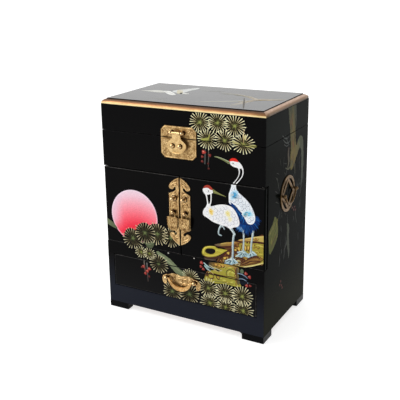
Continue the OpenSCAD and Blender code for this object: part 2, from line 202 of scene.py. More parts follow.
def paint(name, rough=0.4, ior=1.15):
    """Brushed lacquer paint that takes its colour from the Paint attribute."""
    m = Mat(name, IOR=ior)
    c = m.attr("Paint")
    streak = m.noise(1.0, 3, 0.6, 0.4, m.scaled(420, 420, 900))
    tone = m.mono(streak, 0.25, 0.82, 0.8, 1.1)
    c = m.mix(1.0, c, m.n("CombineColor", {0: tone, 1: tone, 2: tone}), "MULTIPLY")
    m.set(Base_Color=c, Roughness=m.mono(streak, 0.2, rough * 0.8, 0.8, rough * 1.25))
    m.set(Normal=m.bump(streak, 0.22, 0.00012))
    return m.m


def brass(name, base, dark, light, rough=0.45, pits=520, relief=0.00005, mottle=1.0):
    """Aged cast brass: mottled patina with small dark pits, brown in the hollows."""
    m = Mat(name, Metallic=1.0)
    cloud = m.noise(170, 4, 0.62, 0.7)
    fleck = m.noise(pits, 3, 0.6, 0.4)
    f = m.math("ADD", m.math("MULTIPLY", cloud, 0.62), m.math("MULTIPLY", fleck, 0.38))
    mid = [(a + b) / 2 for a, b in zip(dark, base)]
    half = 0.17 * mottle
    col = m.ramp(m.mono(f, 0.5 - half, 0.0, 0.5 + half, 1.0) if mottle <= 1 else m.mono(f, 0.36, 0.0, 0.64, 1.0),
                 [(0.0, lin([b + (d - b) * 0.55 * mottle for b, d in zip(base, dark)])), (0.45, lin(base)), (1.0, lin([b + (l - b) * 0.5 * mottle for b, l in zip(base, light)]))])
    hole = m.mono(m.voronoi(pits * 0.55), 0.10, 1.0, 0.26, 0.0)
    seldom = m.mono(m.noise(pits * 0.3, 2, 0.5), 0.52, 0.0, 0.6, 1.0)
    pit = m.math("MULTIPLY", hole, seldom)
    col = m.mix(m.math("MULTIPLY", pit, 0.7 * mottle), col, lin(mid))
    m.set(Base_Color=col, Roughness=m.mono(f, 0.35, rough * 1.25, 0.65, rough * 0.8))
    h = m.math("SUBTRACT", m.math("ADD", m.math("MULTIPLY", fleck, 0.5), m.math("MULTIPLY", cloud, 0.8)), m.math("MULTIPLY", pit, 0.8))
    m.set(Normal=m.bump(h, 0.5, relief))
    return m.m


def velvet(name, a, b):
    m = Mat(name, Sheen_Weight=0.7, Sheen_Roughness=0.45, Sheen_Tint=lin((235, 120, 120)), Specular_IOR_Level=0.2)
    nap = m.noise(2600, 2, 0.6)
    brush = m.noise(55, 3, 0.6, 0.8)
    f = m.math("ADD", m.math("MULTIPLY", nap, 0.35), m.math("MULTIPLY", brush, 0.65))
    m.set(Base_Color=m.ramp(f, [(0.3, lin(a)), (0.7, lin(b))]), Roughness=m.mono(nap, 0.3, 0.8, 0.7, 1.0))
    m.set(Normal=m.bump(m.math("ADD", nap, m.math("MULTIPLY", brush, 0.6)), 0.5, 0.00025))
    return m.m


def wood(name, a, b, along=1):
    m = Mat(name, Specular_IOR_Level=0.3)
    sc = [260, 260, 260]
    sc[along] = 22
    v = m.scaled(*sc)
    g = m.noise(0.35, 5, 0.62, 1.2, v)
    pore = m.noise(2.4, 2, 0.5, 0.0, v)
    col = m.ramp(g, [(0.3, lin(a)), (0.52, lin([(x + y) / 2 for x, y in zip(a, b)])), (0.7, lin(b))])
    m.set(Base_Color=m.mix(m.mono(pore, 0.52, 0.0, 0.7, 0.45), col, lin([x * 0.55 for x in a])),
          Roughness=m.mono(g, 0.3, 0.5, 0.7, 0.72))
    m.set(Normal=m.bump(pore, 0.35, 0.00015))
    return m.m


BLACK = lacquer("black_lacquer", (4, 4, 5), (6, 5, 5), 1.118, 0.12)
# drawer front: lighter towards the foot, a painted reflection of the floor, and a stronger painted edge highlight
DRAWL = lacquer("drawer_lacquer", (5, 5, 6), (7, 6, 6), 1.13, 0.12, (17, 17, 18), 0.6)
# doors: a stronger grey on the rounded edges, a painted edge highlight along the seams, with wear
DOORL = lacquer("door_lacquer", (4, 4, 5), (6, 5, 5), 1.118, 0.12, None, 0.7)
# feet: a navy tint that paints the floor's reflection
FEETL = lacquer("feet_lacquer", (5, 6, 8), (8, 9, 12), 1.13, 0.14)
# apron and stiles: navy towards the foot, a painted reflection of the floor
FOOTL = lacquer("foot_lacquer", (5, 5, 6), (7, 6, 6), 1.13, 0.12, (28, 31, 40))
# side faces: a darker, less glossy copy that paints the shade on the sides, with a paler band low down as a painted
# reflection; high lightens the lid's sides
SIDEL = lacquer("side_lacquer", (4, 7, 6), (7, 9, 5), 1.041, 0.16, (27, 28, 18), high=(24, 27, 25))
TOPL = lacquer("top_lacquer", (12, 12, 13), (18, 17, 15), 1.49, 0.1)
EDGEL = lacquer("edge_lacquer", (9, 6, 6), (14, 9, 8), 1.06, 0.2)
INNER = lacquer("inner_lacquer", (9, 7, 7), (16, 12, 11), 1.2, 0.3)
PAINT = paint("brushed_paint")
PAINT_DIM = paint("thin_paint", 0.3, 1.08)
PAINT_TOP = paint("top_paint", 0.14, 1.5)
BRASS = brass("cast_brass", (157, 126, 81), (80, 54, 27), (230, 202, 148), 0.42, mottle=1.25)
BRASS_LOCK = brass("cast_brass_lock", (144, 112, 70), (68, 44, 22), (224, 196, 138), 0.42, mottle=1.5)
# lighter brass for rounded rims and raised chasing: partly rubbed wear, partly a painted highlight
BRASS_RIM = brass("rubbed_rim_painted_highlight", (236, 202, 146), (150, 108, 60), (255, 238, 196), 0.3, 900, 0.00002, 0.6)
BRASS_HI = brass("polished_brass", (190, 160, 116), (90, 62, 36), (232, 208, 166), 0.16, 900, 0.00001, 0.45)
# dark rings round post feet: a painted shadow laid on as patina
PATINA_SHADOW = brass("patina_painted_shadow", (46, 30, 20), (14, 9, 6), (78, 54, 36), 0.6, 900, 0.00002, 0.8)
BRASS_TONGUE = brass("worn_brass", (196, 164, 112), (120, 84, 46), (244, 222, 172), 0.26, 900, 0.00002, 0.8)
# a darker copy of the brass: painted shade for the handles on the case's sides, also used on the hinges
BRASS_DARK = brass("darker_brass_painted_shade", (96, 74, 46), (36, 24, 14), (158, 126, 86), 0.42, mottle=1.2)
BRASS_BAIL = brass("rubbed_brass", (198, 157, 100), (110, 72, 38), (250, 222, 168), 0.28, 900, 0.00002, 0.7)
# lighter rims on the darker brass: partly rubbed wear, partly a painted highlight
DARK_RIM = brass("dull_rim", (140, 112, 76), (70, 48, 30), (190, 160, 116), 0.36, 900, 0.00002, 0.7)
VELVET = velvet("red_velvet", (92, 8, 16), (148, 20, 30))
WOOD = wood("plain_wood", (120, 78, 44), (176, 126, 78))
STEEL = brass("pin_steel", (176, 172, 164), (110, 106, 100), (226, 224, 218), 0.3, 900, 0.00002, 0.6)


def gold_paint(name, stops):
    """Gold paint over lacquer on the moulding: brushed along its length, pale cream low on its face and copper brown on
    its crown by height on the section, a painted highlight and shade.
    """
    m = Mat(name, Metallic=0.55, Specular_IOR_Level=0.5)
    run = m.attr("Run", "Fac")
    n1 = m.noise(1.0, 4, 0.65, 0.3, m.scaled(260, 260, 260))
    n2 = m.noise(46, 3, 0.6, 0.6)
    f = m.math("ADD", run, m.math("MULTIPLY", m.math("SUBTRACT", n2, 0.5), 0.22))
    col = m.ramp(f, [(t, lin(c)) for t, c in stops])
    col = m.mix(m.mono(n1, 0.58, 0.0, 0.78, 0.4), col, lin((96, 64, 42)))
    m.set(Base_Color=col, Roughness=m.mono(n1, 0.3, 0.34, 0.75, 0.55))
    m.set(Normal=m.bump(n1, 0.3, 0.00012))
    return m.m


# front and back strips: pale cream low, brown on the crown, painted highlight and shade by height
GOLD = gold_paint("gold_paint", [(0.0, (252, 230, 176)), (0.3, (246, 216, 152)), (0.42, (172, 124, 76)), (0.62, (138, 94, 56)), (1.0, (84, 56, 36))])
# side strips: a darker copy, painted shade on the sides
GOLD_SIDE = gold_paint("gold_paint_painted_shade", [(0.0, (92, 74, 54)), (0.3, (104, 82, 60)), (0.42, (160, 128, 98)), (0.7, (180, 146, 118)), (1.0, (160, 128, 104))])


def mirror_glass():
    m = Mat("mirror_glass", Metallic=1.0)
    haze = m.noise(14, 3, 0.5)
    m.set(Base_Color=m.mix(haze, lin((214, 222, 224)), lin((226, 232, 233))), Roughness=m.mono(haze, 0.3, 0.015, 0.7, 0.04))
    return m.m


MIRROR = mirror_glass()


# ---- mesh making --------------------------------------------------------------

def piece(name, verts, faces, mat, body, nodes=(), smooth=True, attrs=None, weighted=True, mats=None):
    """A mesh piece from millimetre points. attrs: name -> one value per face corner (float) or colour."""
    me = bpy.data.meshes.new(name)
    me.from_pydata([Vector(v) * MM for v in verts], [], faces)
    me.update()
    ob = bpy.data.objects.new(name, me)
    bpy.context.scene.collection.objects.link(ob)
    for x in (mats or [mat]):
        me.materials.append(x)
    if smooth:
        me.polygons.foreach_set("use_smooth", [True] * len(me.polygons))
    for k, vals in (attrs or {}).items():
        colour = hasattr(vals[0], "__len__")
        a = me.attributes.new(k, "FLOAT_COLOR" if colour else "FLOAT", "CORNER")
        if colour:
            a.data.foreach_set("color", [c for v in vals for c in (*v[:3], 1.0)])
        else:
            a.data.foreach_set("value", vals)
    if smooth and weighted:
        w = ob.modifiers.new("weighted", "WEIGHTED_NORMAL")
        w.keep_sharp = True
    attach(ob, body)
    if nodes:
        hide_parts(*nodes)
    return ob


EDGE_NAMES = {  # axis the edge runs along, and the signs on the other two axes
    "FT": ("x", (-1, 1)), "FB": ("x", (-1, -1)), "BT": ("x", (1, 1)), "BB": ("x", (1, -1)),
    "LF": ("z", (-1, -1)), "RF": ("z", (1, -1)), "LB": ("z", (-1, 1)), "RB": ("z", (1, 1)),
    "LT": ("y", (-1, 1)), "RT": ("y", (1, 1)), "LD": ("y", (-1, -1)), "RD": ("y", (1, -1)),
}
ALL_EDGES = tuple(EDGE_NAMES)


class Build:
    """Collects parts in one bmesh, in millimetres, with the rounded edges marked for wear and a painted edge highlight.
    """

    def __init__(self):
        self.bm = bmesh.new()
        self.wear_highlight = self.bm.loops.layers.float.new("EdgeWearHighlight")

    def slab(self, lo, hi, edges=ALL_EDGES, r=1.0, seg=3):
        part = bmesh.new()
        bmesh.ops.create_cube(part, size=1.0)
        lo, hi = Vector(lo), Vector(hi)
        for v in part.verts:
            v.co = Vector((hi[i] if v.co[i] > 0 else lo[i]) for i in range(3))
        mid = (lo + hi) / 2
        want = {EDGE_NAMES[e] for e in edges}
        pick = []
        for e in part.edges:
            d = e.verts[0].co - e.verts[1].co
            ax = max(range(3), key=lambda i: abs(d[i]))
            c = (e.verts[0].co + e.verts[1].co) / 2
            others = [i for i in range(3) if i != ax]
            key = ("xyz"[ax], tuple(1 if c[i] > mid[i] else -1 for i in others))
            if key in want:
                pick.append(e)
        if pick and r > 0:
            bmesh.ops.bevel(part, geom=pick, offset=r, segments=seg, profile=0.5, affect="EDGES", clamp_overlap=True)
        self.join(part)
        return self

    def join(self, part, wear_highlight_all=None):
        layer = part.loops.layers.float.get("EdgeWearHighlight")
        vm = {}
        for v in part.verts:
            vm[v] = self.bm.verts.new(v.co)
        for f in part.faces:
            try:
                g = self.bm.faces.new([vm[v] for v in f.verts])
            except ValueError:
                continue
            f.normal_update()
            flat = max(abs(c) for c in f.normal) > 0.999
            for l, l0 in zip(g.loops, f.loops):
                l[self.wear_highlight] = (l0[layer] if layer else (0.0 if flat else 1.0)) if wear_highlight_all is None else wear_highlight_all
        part.free()

    def raw(self, verts, faces, wear_highlight=0.0):
        vs = [self.bm.verts.new(v) for v in verts]
        for i, f in enumerate(faces):
            try:
                g = self.bm.faces.new([vs[j] for j in f])
            except ValueError:
                continue
            w = wear_highlight[i] if hasattr(wear_highlight, "__len__") else wear_highlight
            for l in g.loops:
                l[self.wear_highlight] = w
        return self

    def piece(self, name, mat, body, nodes=(), slot=None, weighted=True, smooth=True, sharp=50):
        me = bpy.data.meshes.new(name)
        bmesh.ops.recalc_face_normals(self.bm, faces=self.bm.faces)
        for v in self.bm.verts:
            v.co *= MM
        if sharp is not None:
            for e in self.bm.edges:
                if len(e.link_faces) == 2 and e.calc_face_angle(0) > math.radians(sharp):
                    e.smooth = False
        self.bm.to_mesh(me)
        self.bm.free()
        ob = bpy.data.objects.new(name, me)
        bpy.context.scene.collection.objects.link(ob)
        me.materials.append(mat)
        if smooth:
            me.polygons.foreach_set("use_smooth", [True] * len(me.polygons))
            if weighted:
                w = ob.modifiers.new("weighted", "WEIGHTED_NORMAL")
                w.keep_sharp = True
        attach(ob, body)
        if nodes:
            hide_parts(*nodes)
        return ob


def catmull(pts, closed=False, step=1.2):
    """Points on a Catmull-Rom curve; the other numbers of each point are carried along."""
    n = len(pts)
    out = []
    last = n if closed else n - 1
    for i in range(last):
        p1, p2 = pts[i], pts[(i + 1) % n]
        p0 = pts[(i - 1) % n] if closed or i else p1
        p3 = pts[(i + 2) % n] if closed or i + 2 < n else p2
        k = max(1, int(math.dist(p1[:2], p2[:2]) / step))
        for j in range(k):
            t = j / k
            out.append(tuple(0.5 * (2 * b + (c - a) * t + (2 * a - 5 * b + 4 * c - d) * t * t + (3 * b - a - 3 * c + d) * t ** 3)
                             for a, b, c, d in zip(p0, p1, p2, p3)))
    if not closed:
        out.append(tuple(pts[-1]))
    return out


def area2(p):
    return sum(a[0] * b[1] - b[0] * a[1] for a, b in zip(p, p[1:] + p[:1])) / 2


def inset(p, d):
    """Moves each point of a closed counter-clockwise outline inwards by d."""
    out = []
    n = len(p)
    for i in range(n):
        a, b, c = Vector(p[i - 1][:2]), Vector(p[i][:2]), Vector(p[(i + 1) % n][:2])
        e1, e2 = (b - a), (c - b)
        if e1.length < 1e-6 or e2.length < 1e-6:
            out.append(tuple(b))
            continue
        n1 = Vector((-e1.y, e1.x)).normalized()
        n2 = Vector((-e2.y, e2.x)).normalized()
        m = n1 + n2
        if m.length < 1e-6:
            out.append(tuple(b))
            continue
        m.normalize()
        k = d / max(0.45, m.dot(n1))
        out.append((b.x + m.x * k, b.y + m.y * k))
    return out


def rounded_prism(outline, t, r, place, seg=3, back=0.0):
    """Verts and faces of a plate: outline in its plane, thickness t, front edge rounded by r, back edge by back.
    place(u, v, h) gives the 3-D point. Returns verts, faces, and per face the mark for wear and painted edge highlight."""
    p = list(outline)
    if area2(p) < 0:
        p.reverse()
    levels = []
    if back > 0:
        levels = [(back * (1 - math.cos(math.pi / 2 * i / seg)), back * (1 - math.sin(math.pi / 2 * i / seg))) for i in range(seg)]
    levels.append((back, 0.0))
    for i in range(seg + 1):
        a = math.pi / 2 * i / seg
        levels.append((t - r + r * math.sin(a), r * (1 - math.cos(a))))
    if levels[0] == levels[1]:
        levels.pop(0)
    verts, faces, wear_highlight = [], [], []
    n = len(p)
    for h, d in levels:
        for u, v in (inset(p, d) if d > 1e-9 else [q[:2] for q in p]):
            verts.append(place(u, v, h))
    for k in range(len(levels) - 1):
        for i in range(n):
            j = (i + 1) % n
            faces.append((k * n + i, k * n + j, (k + 1) * n + j, (k + 1) * n + i))
            wear_highlight.append(1.0 if levels[k + 1][1] > 0 or levels[k][1] > 0 else 0.0)
    top = len(levels) - 1
    cap_t = [Vector((q[0], q[1], 0)) for q in (inset(p, levels[-1][1]) if levels[-1][1] > 1e-9 else p)]
    for tri in tessellate_polygon([cap_t]):
        a, b, c = tri
        cr = (cap_t[b] - cap_t[a]).cross(cap_t[c] - cap_t[a]).z
        if cr < 0:
            b, c = c, b
        faces.append((top * n + a, top * n + b, top * n + c))
        wear_highlight.append(0.0)
        faces.append((a, c, b))
        wear_highlight.append(0.0)
    return verts, faces, wear_highlight


def lathe(profile, place, seg=24):
    """Turned form: profile is (radius, height) from the foot to the crown, closed at both ends."""
    verts, faces = [], []
    n = len(profile)
    for r, h in profile:
        for i in range(seg):
            a = 2 * math.pi * i / seg
            verts.append(place(r * math.cos(a), r * math.sin(a), h))
    for k in range(n - 1):
        for i in range(seg):
            j = (i + 1) % seg
            faces.append((k * seg + i, k * seg + j, (k + 1) * seg + j, (k + 1) * seg + i))
    faces.append(tuple(range(seg))[::-1])
    faces.append(tuple((n - 1) * seg + i for i in range(seg)))
    return verts, faces


def tube(path, seg=14, up=Vector((0, 0, 1))):
    """Tapered bar: path is (point, radius) in millimetres, closed with rounded ends."""
    pts = [Vector(p) for p, _ in path]
    rad = [r for _, r in path]
    verts, faces = [], []
    n = len(pts)
    prev = None
    for i in range(n):
        d = (pts[min(i + 1, n - 1)] - pts[max(i - 1, 0)]).normalized()
        if prev is None:
            side = d.orthogonal().normalized()
        else:
            side = (prev - d * prev.dot(d)).normalized()
        prev = side
        top = d.cross(side)
        for k in range(seg):
            a = 2 * math.pi * k / seg
            verts.append(pts[i] + (side * math.cos(a) + top * math.sin(a)) * rad[i])
    for i in range(n - 1):
        for k in range(seg):
            j = (k + 1) % seg
            faces.append((i * seg + k, i * seg + j, (i + 1) * seg + j, (i + 1) * seg + k))
    faces.append(tuple(range(seg))[::-1])
    faces.append(tuple((n - 1) * seg + k for k in range(seg)))
    return verts, faces


def on_front(x, z, p=0.0):
    return lambda u, v, h: (x + u, YF - p - h, z + v)


def on_side(y, z, s=1, p=0.0):
    """Local u runs along +Y on the right side; the left side is its mirror image."""
    return lambda u, v, h: (s * (HW + p + h), y + u, z + v)


# ---- camera and lights ----------------------------------------------------------

W = 242.0
CAM = dict(p=(1.8287, -3.16056, 1.96517), az=0.52642, el=0.273, ro=-0.02144, f=706.19532, cx=178, cy=165)
sc = bpy.context.scene
cam_data = bpy.data.cameras.new("camera")
cam = bpy.data.objects.new("camera", cam_data)
sc.collection.objects.link(cam)
_az, _el, _ro = CAM["az"], CAM["el"], CAM["ro"]
_b = Vector((math.sin(_az) * math.cos(_el), -math.cos(_az) * math.cos(_el), math.sin(_el)))
_r = (-_b).cross(Vector((0, 0, 1))).normalized()
_u = _r.cross(-_b)
_rr = _r * math.cos(_ro) + _u * math.sin(_ro)
_uu = -_r * math.sin(_ro) + _u * math.cos(_ro)
cam.matrix_world = Matrix((
    (_rr.x, _uu.x, _b.x, CAM["p"][0] * W * MM),
    (_rr.y, _uu.y, _b.y, (CAM["p"][1] * W + YF) * MM),
    (_rr.z, _uu.z, _b.z, CAM["p"][2] * W * MM),
    (0, 0, 0, 1)))
cam_data.sensor_width = 36
cam_data.lens = CAM["f"] * 36 / 400
cam_data.shift_x = (200 - CAM["cx"]) / 400
cam_data.shift_y = (CAM["cy"] - 200) / 400
cam_data.clip_start, cam_data.clip_end = 0.02, 60
sc.camera = cam
sc.view_settings.view_transform = "Standard"


def area_light(name, loc, target, size, power, colour=(1, 1, 1)):
    li = bpy.data.lights.new(name, "AREA")
    li.shape = "RECTANGLE"
    li.size, li.size_y = size
    li.energy = power
    li.color = colour
    ob = bpy.data.objects.new(name, li)
    sc.collection.objects.link(ob)
    ob.location = loc
    ob.rotation_mode = "QUATERNION"
    ob.rotation_quaternion = (Vector(loc) - Vector(target)).to_track_quat("Z", "Y")
    return ob


area_light("key", (-1.3, -0.9, 1.3), (0, 0, 0.14), (0.7, 0.7), 12)
area_light("fill", (1.6, -1.3, 0.9), (0, 0, 0.15), (0.9, 0.9), 1.5)
area_light("rim", (-0.3, 1.8, 1.3), (0, 0, 0.2), (1.4, 0.8), 6)

# bright room to the upper left and behind, dark to the lower right; the camera itself sees plain white
world = bpy.data.worlds.new("studio")
sc.world = world
world.use_nodes = True
wt = world.node_tree
bg = wt.nodes["Background"]
tc = wt.nodes.new("ShaderNodeTexCoord")
dot = wt.nodes.new("ShaderNodeVectorMath")
dot.operation = "DOT_PRODUCT"
wt.links.new(tc.outputs["Generated"], dot.inputs[0])
dot.inputs[1].default_value = (-0.65, 0.25, 0.72)
mr = wt.nodes.new("ShaderNodeMapRange")
mr.interpolation_type = "SMOOTHSTEP"
wt.links.new(dot.outputs["Value"], mr.inputs[0])
for k_, v_ in ((1, -0.2), (2, 0.7), (3, 0.15), (4, 1.02)):
    mr.inputs[k_].default_value = v_
# a soft window at the left that only glossy surfaces show
win = wt.nodes.new("ShaderNodeVectorMath")
win.operation = "DOT_PRODUCT"
wt.links.new(tc.outputs["Generated"], win.inputs[0])
win.inputs[1].default_value = (-0.80, -0.36, 0.48)
wr = wt.nodes.new("ShaderNodeMapRange")
wr.interpolation_type = "SMOOTHSTEP"
wt.links.new(win.outputs["Value"], wr.inputs[0])
for k_, v_ in ((1, 0.86), (2, 0.95), (3, 0.0), (4, 5.0)):
    wr.inputs[k_].default_value = v_
lp = wt.nodes.new("ShaderNodeLightPath")
glow = wt.nodes.new("ShaderNodeMath")
glow.operation = "MULTIPLY_ADD"
wt.links.new(wr.outputs[0], glow.inputs[0])
wt.links.new(lp.outputs["Is Glossy Ray"], glow.inputs[1])
wt.links.new(mr.outputs[0], glow.inputs[2])
wt.links.new(glow.outputs[0], bg.inputs[1])
bg.inputs[0].default_value = (1, 1, 1, 1)
plain = wt.nodes.new("ShaderNodeBackground")
plain.inputs[0].default_value = (1, 1, 1, 1)
plain.inputs[1].default_value = 1.0
both = wt.nodes.new("ShaderNodeMixShader")
wt.links.new(lp.outputs["Is Camera Ray"], both.inputs[0])
wt.links.new(bg.outputs[0], both.inputs[1])
wt.links.new(plain.outputs[0], both.inputs[2])
wt.links.new(both.outputs[0], wt.nodes["World Output"].inputs[0])

fl = Mat("studio_floor", Specular_IOR_Level=0.1, Emission_Color=(1, 1, 1, 1), Emission_Strength=0.72)
fl.set(Base_Color=fl.mix(fl.noise(3, 2, 0.5), lin((198, 198, 197)), lin((204, 204, 204))), Roughness=fl.mono(fl.noise(60, 3, 0.5), 0.3, 0.7, 0.7, 0.9))
floor = bpy.data.meshes.new("floor")
_F = 9.0
floor.from_pydata([(-_F, -_F, -0.0004), (_F, -_F, -0.0004), (_F, _F, -0.0004), (-_F, _F, -0.0004)], [], [(0, 1, 2, 3)])
floor_ob = bpy.data.objects.new("floor", floor)
sc.collection.objects.link(floor_ob)
floor.materials.append(fl.m)


# ---- lacquered boards -------------------------------------------------------------

R = 1.1   # rounding of the case's outer edges
S = 0.45  # rounding beside a seam


# side_lacquer given here to side faces is the darker copy: painted shade on the sides
def sided(ob, mat, axis=0, over=0.9):
    """Gives the faces that look along one axis a lacquer of their own."""
    ob.data.materials.append(mat)
    k = len(ob.data.materials) - 1
    for p in ob.data.polygons:
        if abs(p.normal[axis]) > over:
            p.material_index = k
    return ob


def shell(name, node, body, slabs, mat=None, slot="black_lacquer", r=R):
    b = Build()
    for s in slabs:
        b.slab(*s)
    return b.piece(name, mat or BLACK, body, [node], slot)


flip = {"RF": "LF", "RB": "LB", "RT": "LT", "RD": "LD"}

lo, hi = mbox("side_panels")
edges = ["RB", "RT"]
shell("case_sides", "side_panels", "case", [
    ((IN_X, lo.y, lo.z), (HW, hi.y, hi.z), edges, S),
    ((-HW, lo.y, lo.z), (-IN_X, hi.y, hi.z), [flip[e] for e in edges], S)], SIDEL)
lo, hi = mbox("back_panel")
shell("case_back", "back_panel", "case", [(lo, hi, ["BT"], S)], INNER)
lo, hi = mbox("tray_front_panel")
sided(shell("case_tray_front", "tray_front_panel", "case", [(lo, hi, ["FT", "FB", "LF", "RF", "LT", "RT", "LD", "RD"], S)]), SIDEL)
lo, hi = mbox("base_top_rail")
sided(shell("case_top_rail", "base_top_rail", "case", [(lo, hi, ["FT", "LT", "RT", "LF", "RF"], S)]), SIDEL)
lo, hi = mbox("apron")
sided(shell("case_apron", "apron", "case", [(lo, hi, ["LF", "RF", "FB"], S)], FOOTL), SIDEL)
lo, hi = mbox("base_stiles")
sided(shell("case_stiles", "base_stiles", "case", [
    ((IN_X, lo.y, lo.z), (HW, hi.y, hi.z), ["RF"], S),
    ((-HW, lo.y, lo.z), (-IN_X, hi.y, hi.z), ["LF"], S)], FOOTL), SIDEL)
lo, hi = mbox("drawer_front")
shell("drawer_face", "drawer_front", "wide_drawer", [(lo, hi, ALL_EDGES, 0.9)], DRAWL)

lo, hi = mbox("lid_front_board")
sided(shell("lid_front", "lid_front_board", "lid", [(lo, hi, ["FB", "LF", "RF", "LD", "RD"], S)]), SIDEL)
lo, hi = mbox("lid_side_boards")
shell("lid_sides", "lid_side_boards", "lid", [
    ((IN_X, lo.y, lo.z), (HW, hi.y, hi.z), ["RB", "RD"], S),
    ((-HW, lo.y, lo.z), (-IN_X, hi.y, hi.z), ["LB", "LD"], S)], SIDEL)
lo, hi = mbox("lid_back_board")
shell("lid_back", "lid_back_board", "lid", [(lo, hi, ["BB"], S)], INNER)
lo, hi = mbox("lid_top_panel")
ob = shell("lid_top", "lid_top_panel", "lid", [(lo, hi, ["FT", "BT", "LT", "RT"], 0.3)], TOPL, "top_lacquer")
sided(ob, EDGEL, 0, 0.3)
sided(ob, EDGEL, 1, 0.3)


# doors: plan outline rounded round the pivot, top and bottom edges rounded
def door_plan(s):
    x0, x1, y1, rf, rb = _doorr[0].x, HW, _doorr[1].y, 2.0, 4.5
    p = [(x0 + 0.6, YF), ]
    for a in range(-90, 1, 15):
        p.append((x1 - rf + rf * math.cos(math.radians(a)), YF + rf + rf * math.sin(math.radians(a))))
    for a in range(0, 91, 10):
        p.append((x1 - rb + rb * math.cos(math.radians(a)), y1 - rb + rb * math.sin(math.radians(a))))
    p += [(x0, y1), (x0, YF + 0.6), (x0 + 0.18, YF + 0.18)]
    return [(s * x, y) for x, y in p]


for s, side in ((1, "right"), (-1, "left")):
    v, f, w = rounded_prism(door_plan(s), D1 - D0, 0.9, lambda u, v, h: (u, v, D0 + h), 3, 0.9)
    sided(Build().raw(v, f, w).piece(f"door_{side}_board", DOORL, f"door_{side}", [f"door_{side}_panel"], "black_lacquer", sharp=50), SIDEL, 0, 0.6)


# gold moulding: one mitred ring with a stepped, rounded section
def moulding():
    w, h = (HW - _panel[1].x) - 0.1, Z_TOP - Z_CAP
    prof = [(0.7, 0.0), (0.5, 0.2), (0.5, h * 0.36), (0.56, h * 0.41), (0.8, h * 0.46)]
    for i in range(1, 9):
        a = math.pi / 2 * i / 8
        t = i / 8
        prof.append((0.8 + (w * 0.92 - 0.8) * (0.5 * (1 - math.cos(a)) + 0.5 * t), h * 0.46 + h * 0.54 * (0.5 * math.sin(a) + 0.5 * t)))
    prof += [(w - 0.05, h), (w, h - 0.1), (w, 0.0)]
    verts, faces, run = [], [], []
    corners = [(-HW, YF, 1, 1), (HW, YF, -1, 1), (HW, YB, -1, -1), (-HW, YB, 1, -1)]
    k = len(prof)
    n_run = 12
    rings = []
    for c in range(4):
        x0, y0, sx0, sy0 = corners[c]
        x1, y1, sx1, sy1 = corners[(c + 1) % 4]
        for j in range(n_run):
            t = j / n_run
            ring = []
            for d, z in prof:
                px = (x0 + sx0 * d) * (1 - t) + (x1 + sx1 * d) * t
                py = (y0 + sy0 * d) * (1 - t) + (y1 + sy1 * d) * t
                ring.append((px, py, Z_CAP + z))
            rings.append(ring)
    for ring in rings:
        verts += ring
    m = len(rings)
    for i in range(m):
        for j in range(k):
            a, b = i * k + j, i * k + (j + 1) % k
            c, d = ((i + 1) % m) * k + (j + 1) % k, ((i + 1) % m) * k + j
            faces.append((a, d, c, b))
    vals = []
    for fc in faces:
        for i in fc:
            z = verts[i][2] - Z_CAP
            vals.append(min(1.0, max(0.0, z / h)))
    return verts, faces, vals, [(i // (n_run * k)) % 2 for i in range(m * k)]


v, f, run, strip = moulding()
ob = piece("lid_gold_moulding", v, f, GOLD, "lid", ["lid_moulding"], attrs={"Run": run}, weighted=True, mats=[GOLD, GOLD_SIDE])
# the side strips take the darker copy, painted shade
ob.data.polygons.foreach_set("material_index", strip)
bm = bmesh.new(); bm.from_mesh(ob.data); bmesh.ops.recalc_face_normals(bm, faces=bm.faces); bm.to_mesh(ob.data); bm.free()

# ---- CAD nodes that keep their own shape -------------------------------------------


def dress(node, mat, width=0.0, seg=2, angle=35, rim=None):
    ob = NODES[node]
    ob.data.materials.clear()
    ob.data.materials.append(mat)
    if width:
        b = ob.modifiers.new("edge", "BEVEL")
        b.width, b.segments = width * MM, seg
        b.limit_method = "ANGLE"
        b.angle_limit = math.radians(angle)
        b.use_clamp_overlap = True
        if rim is not None:
            ob.data.materials.append(rim)
            b.material = 1
    return ob


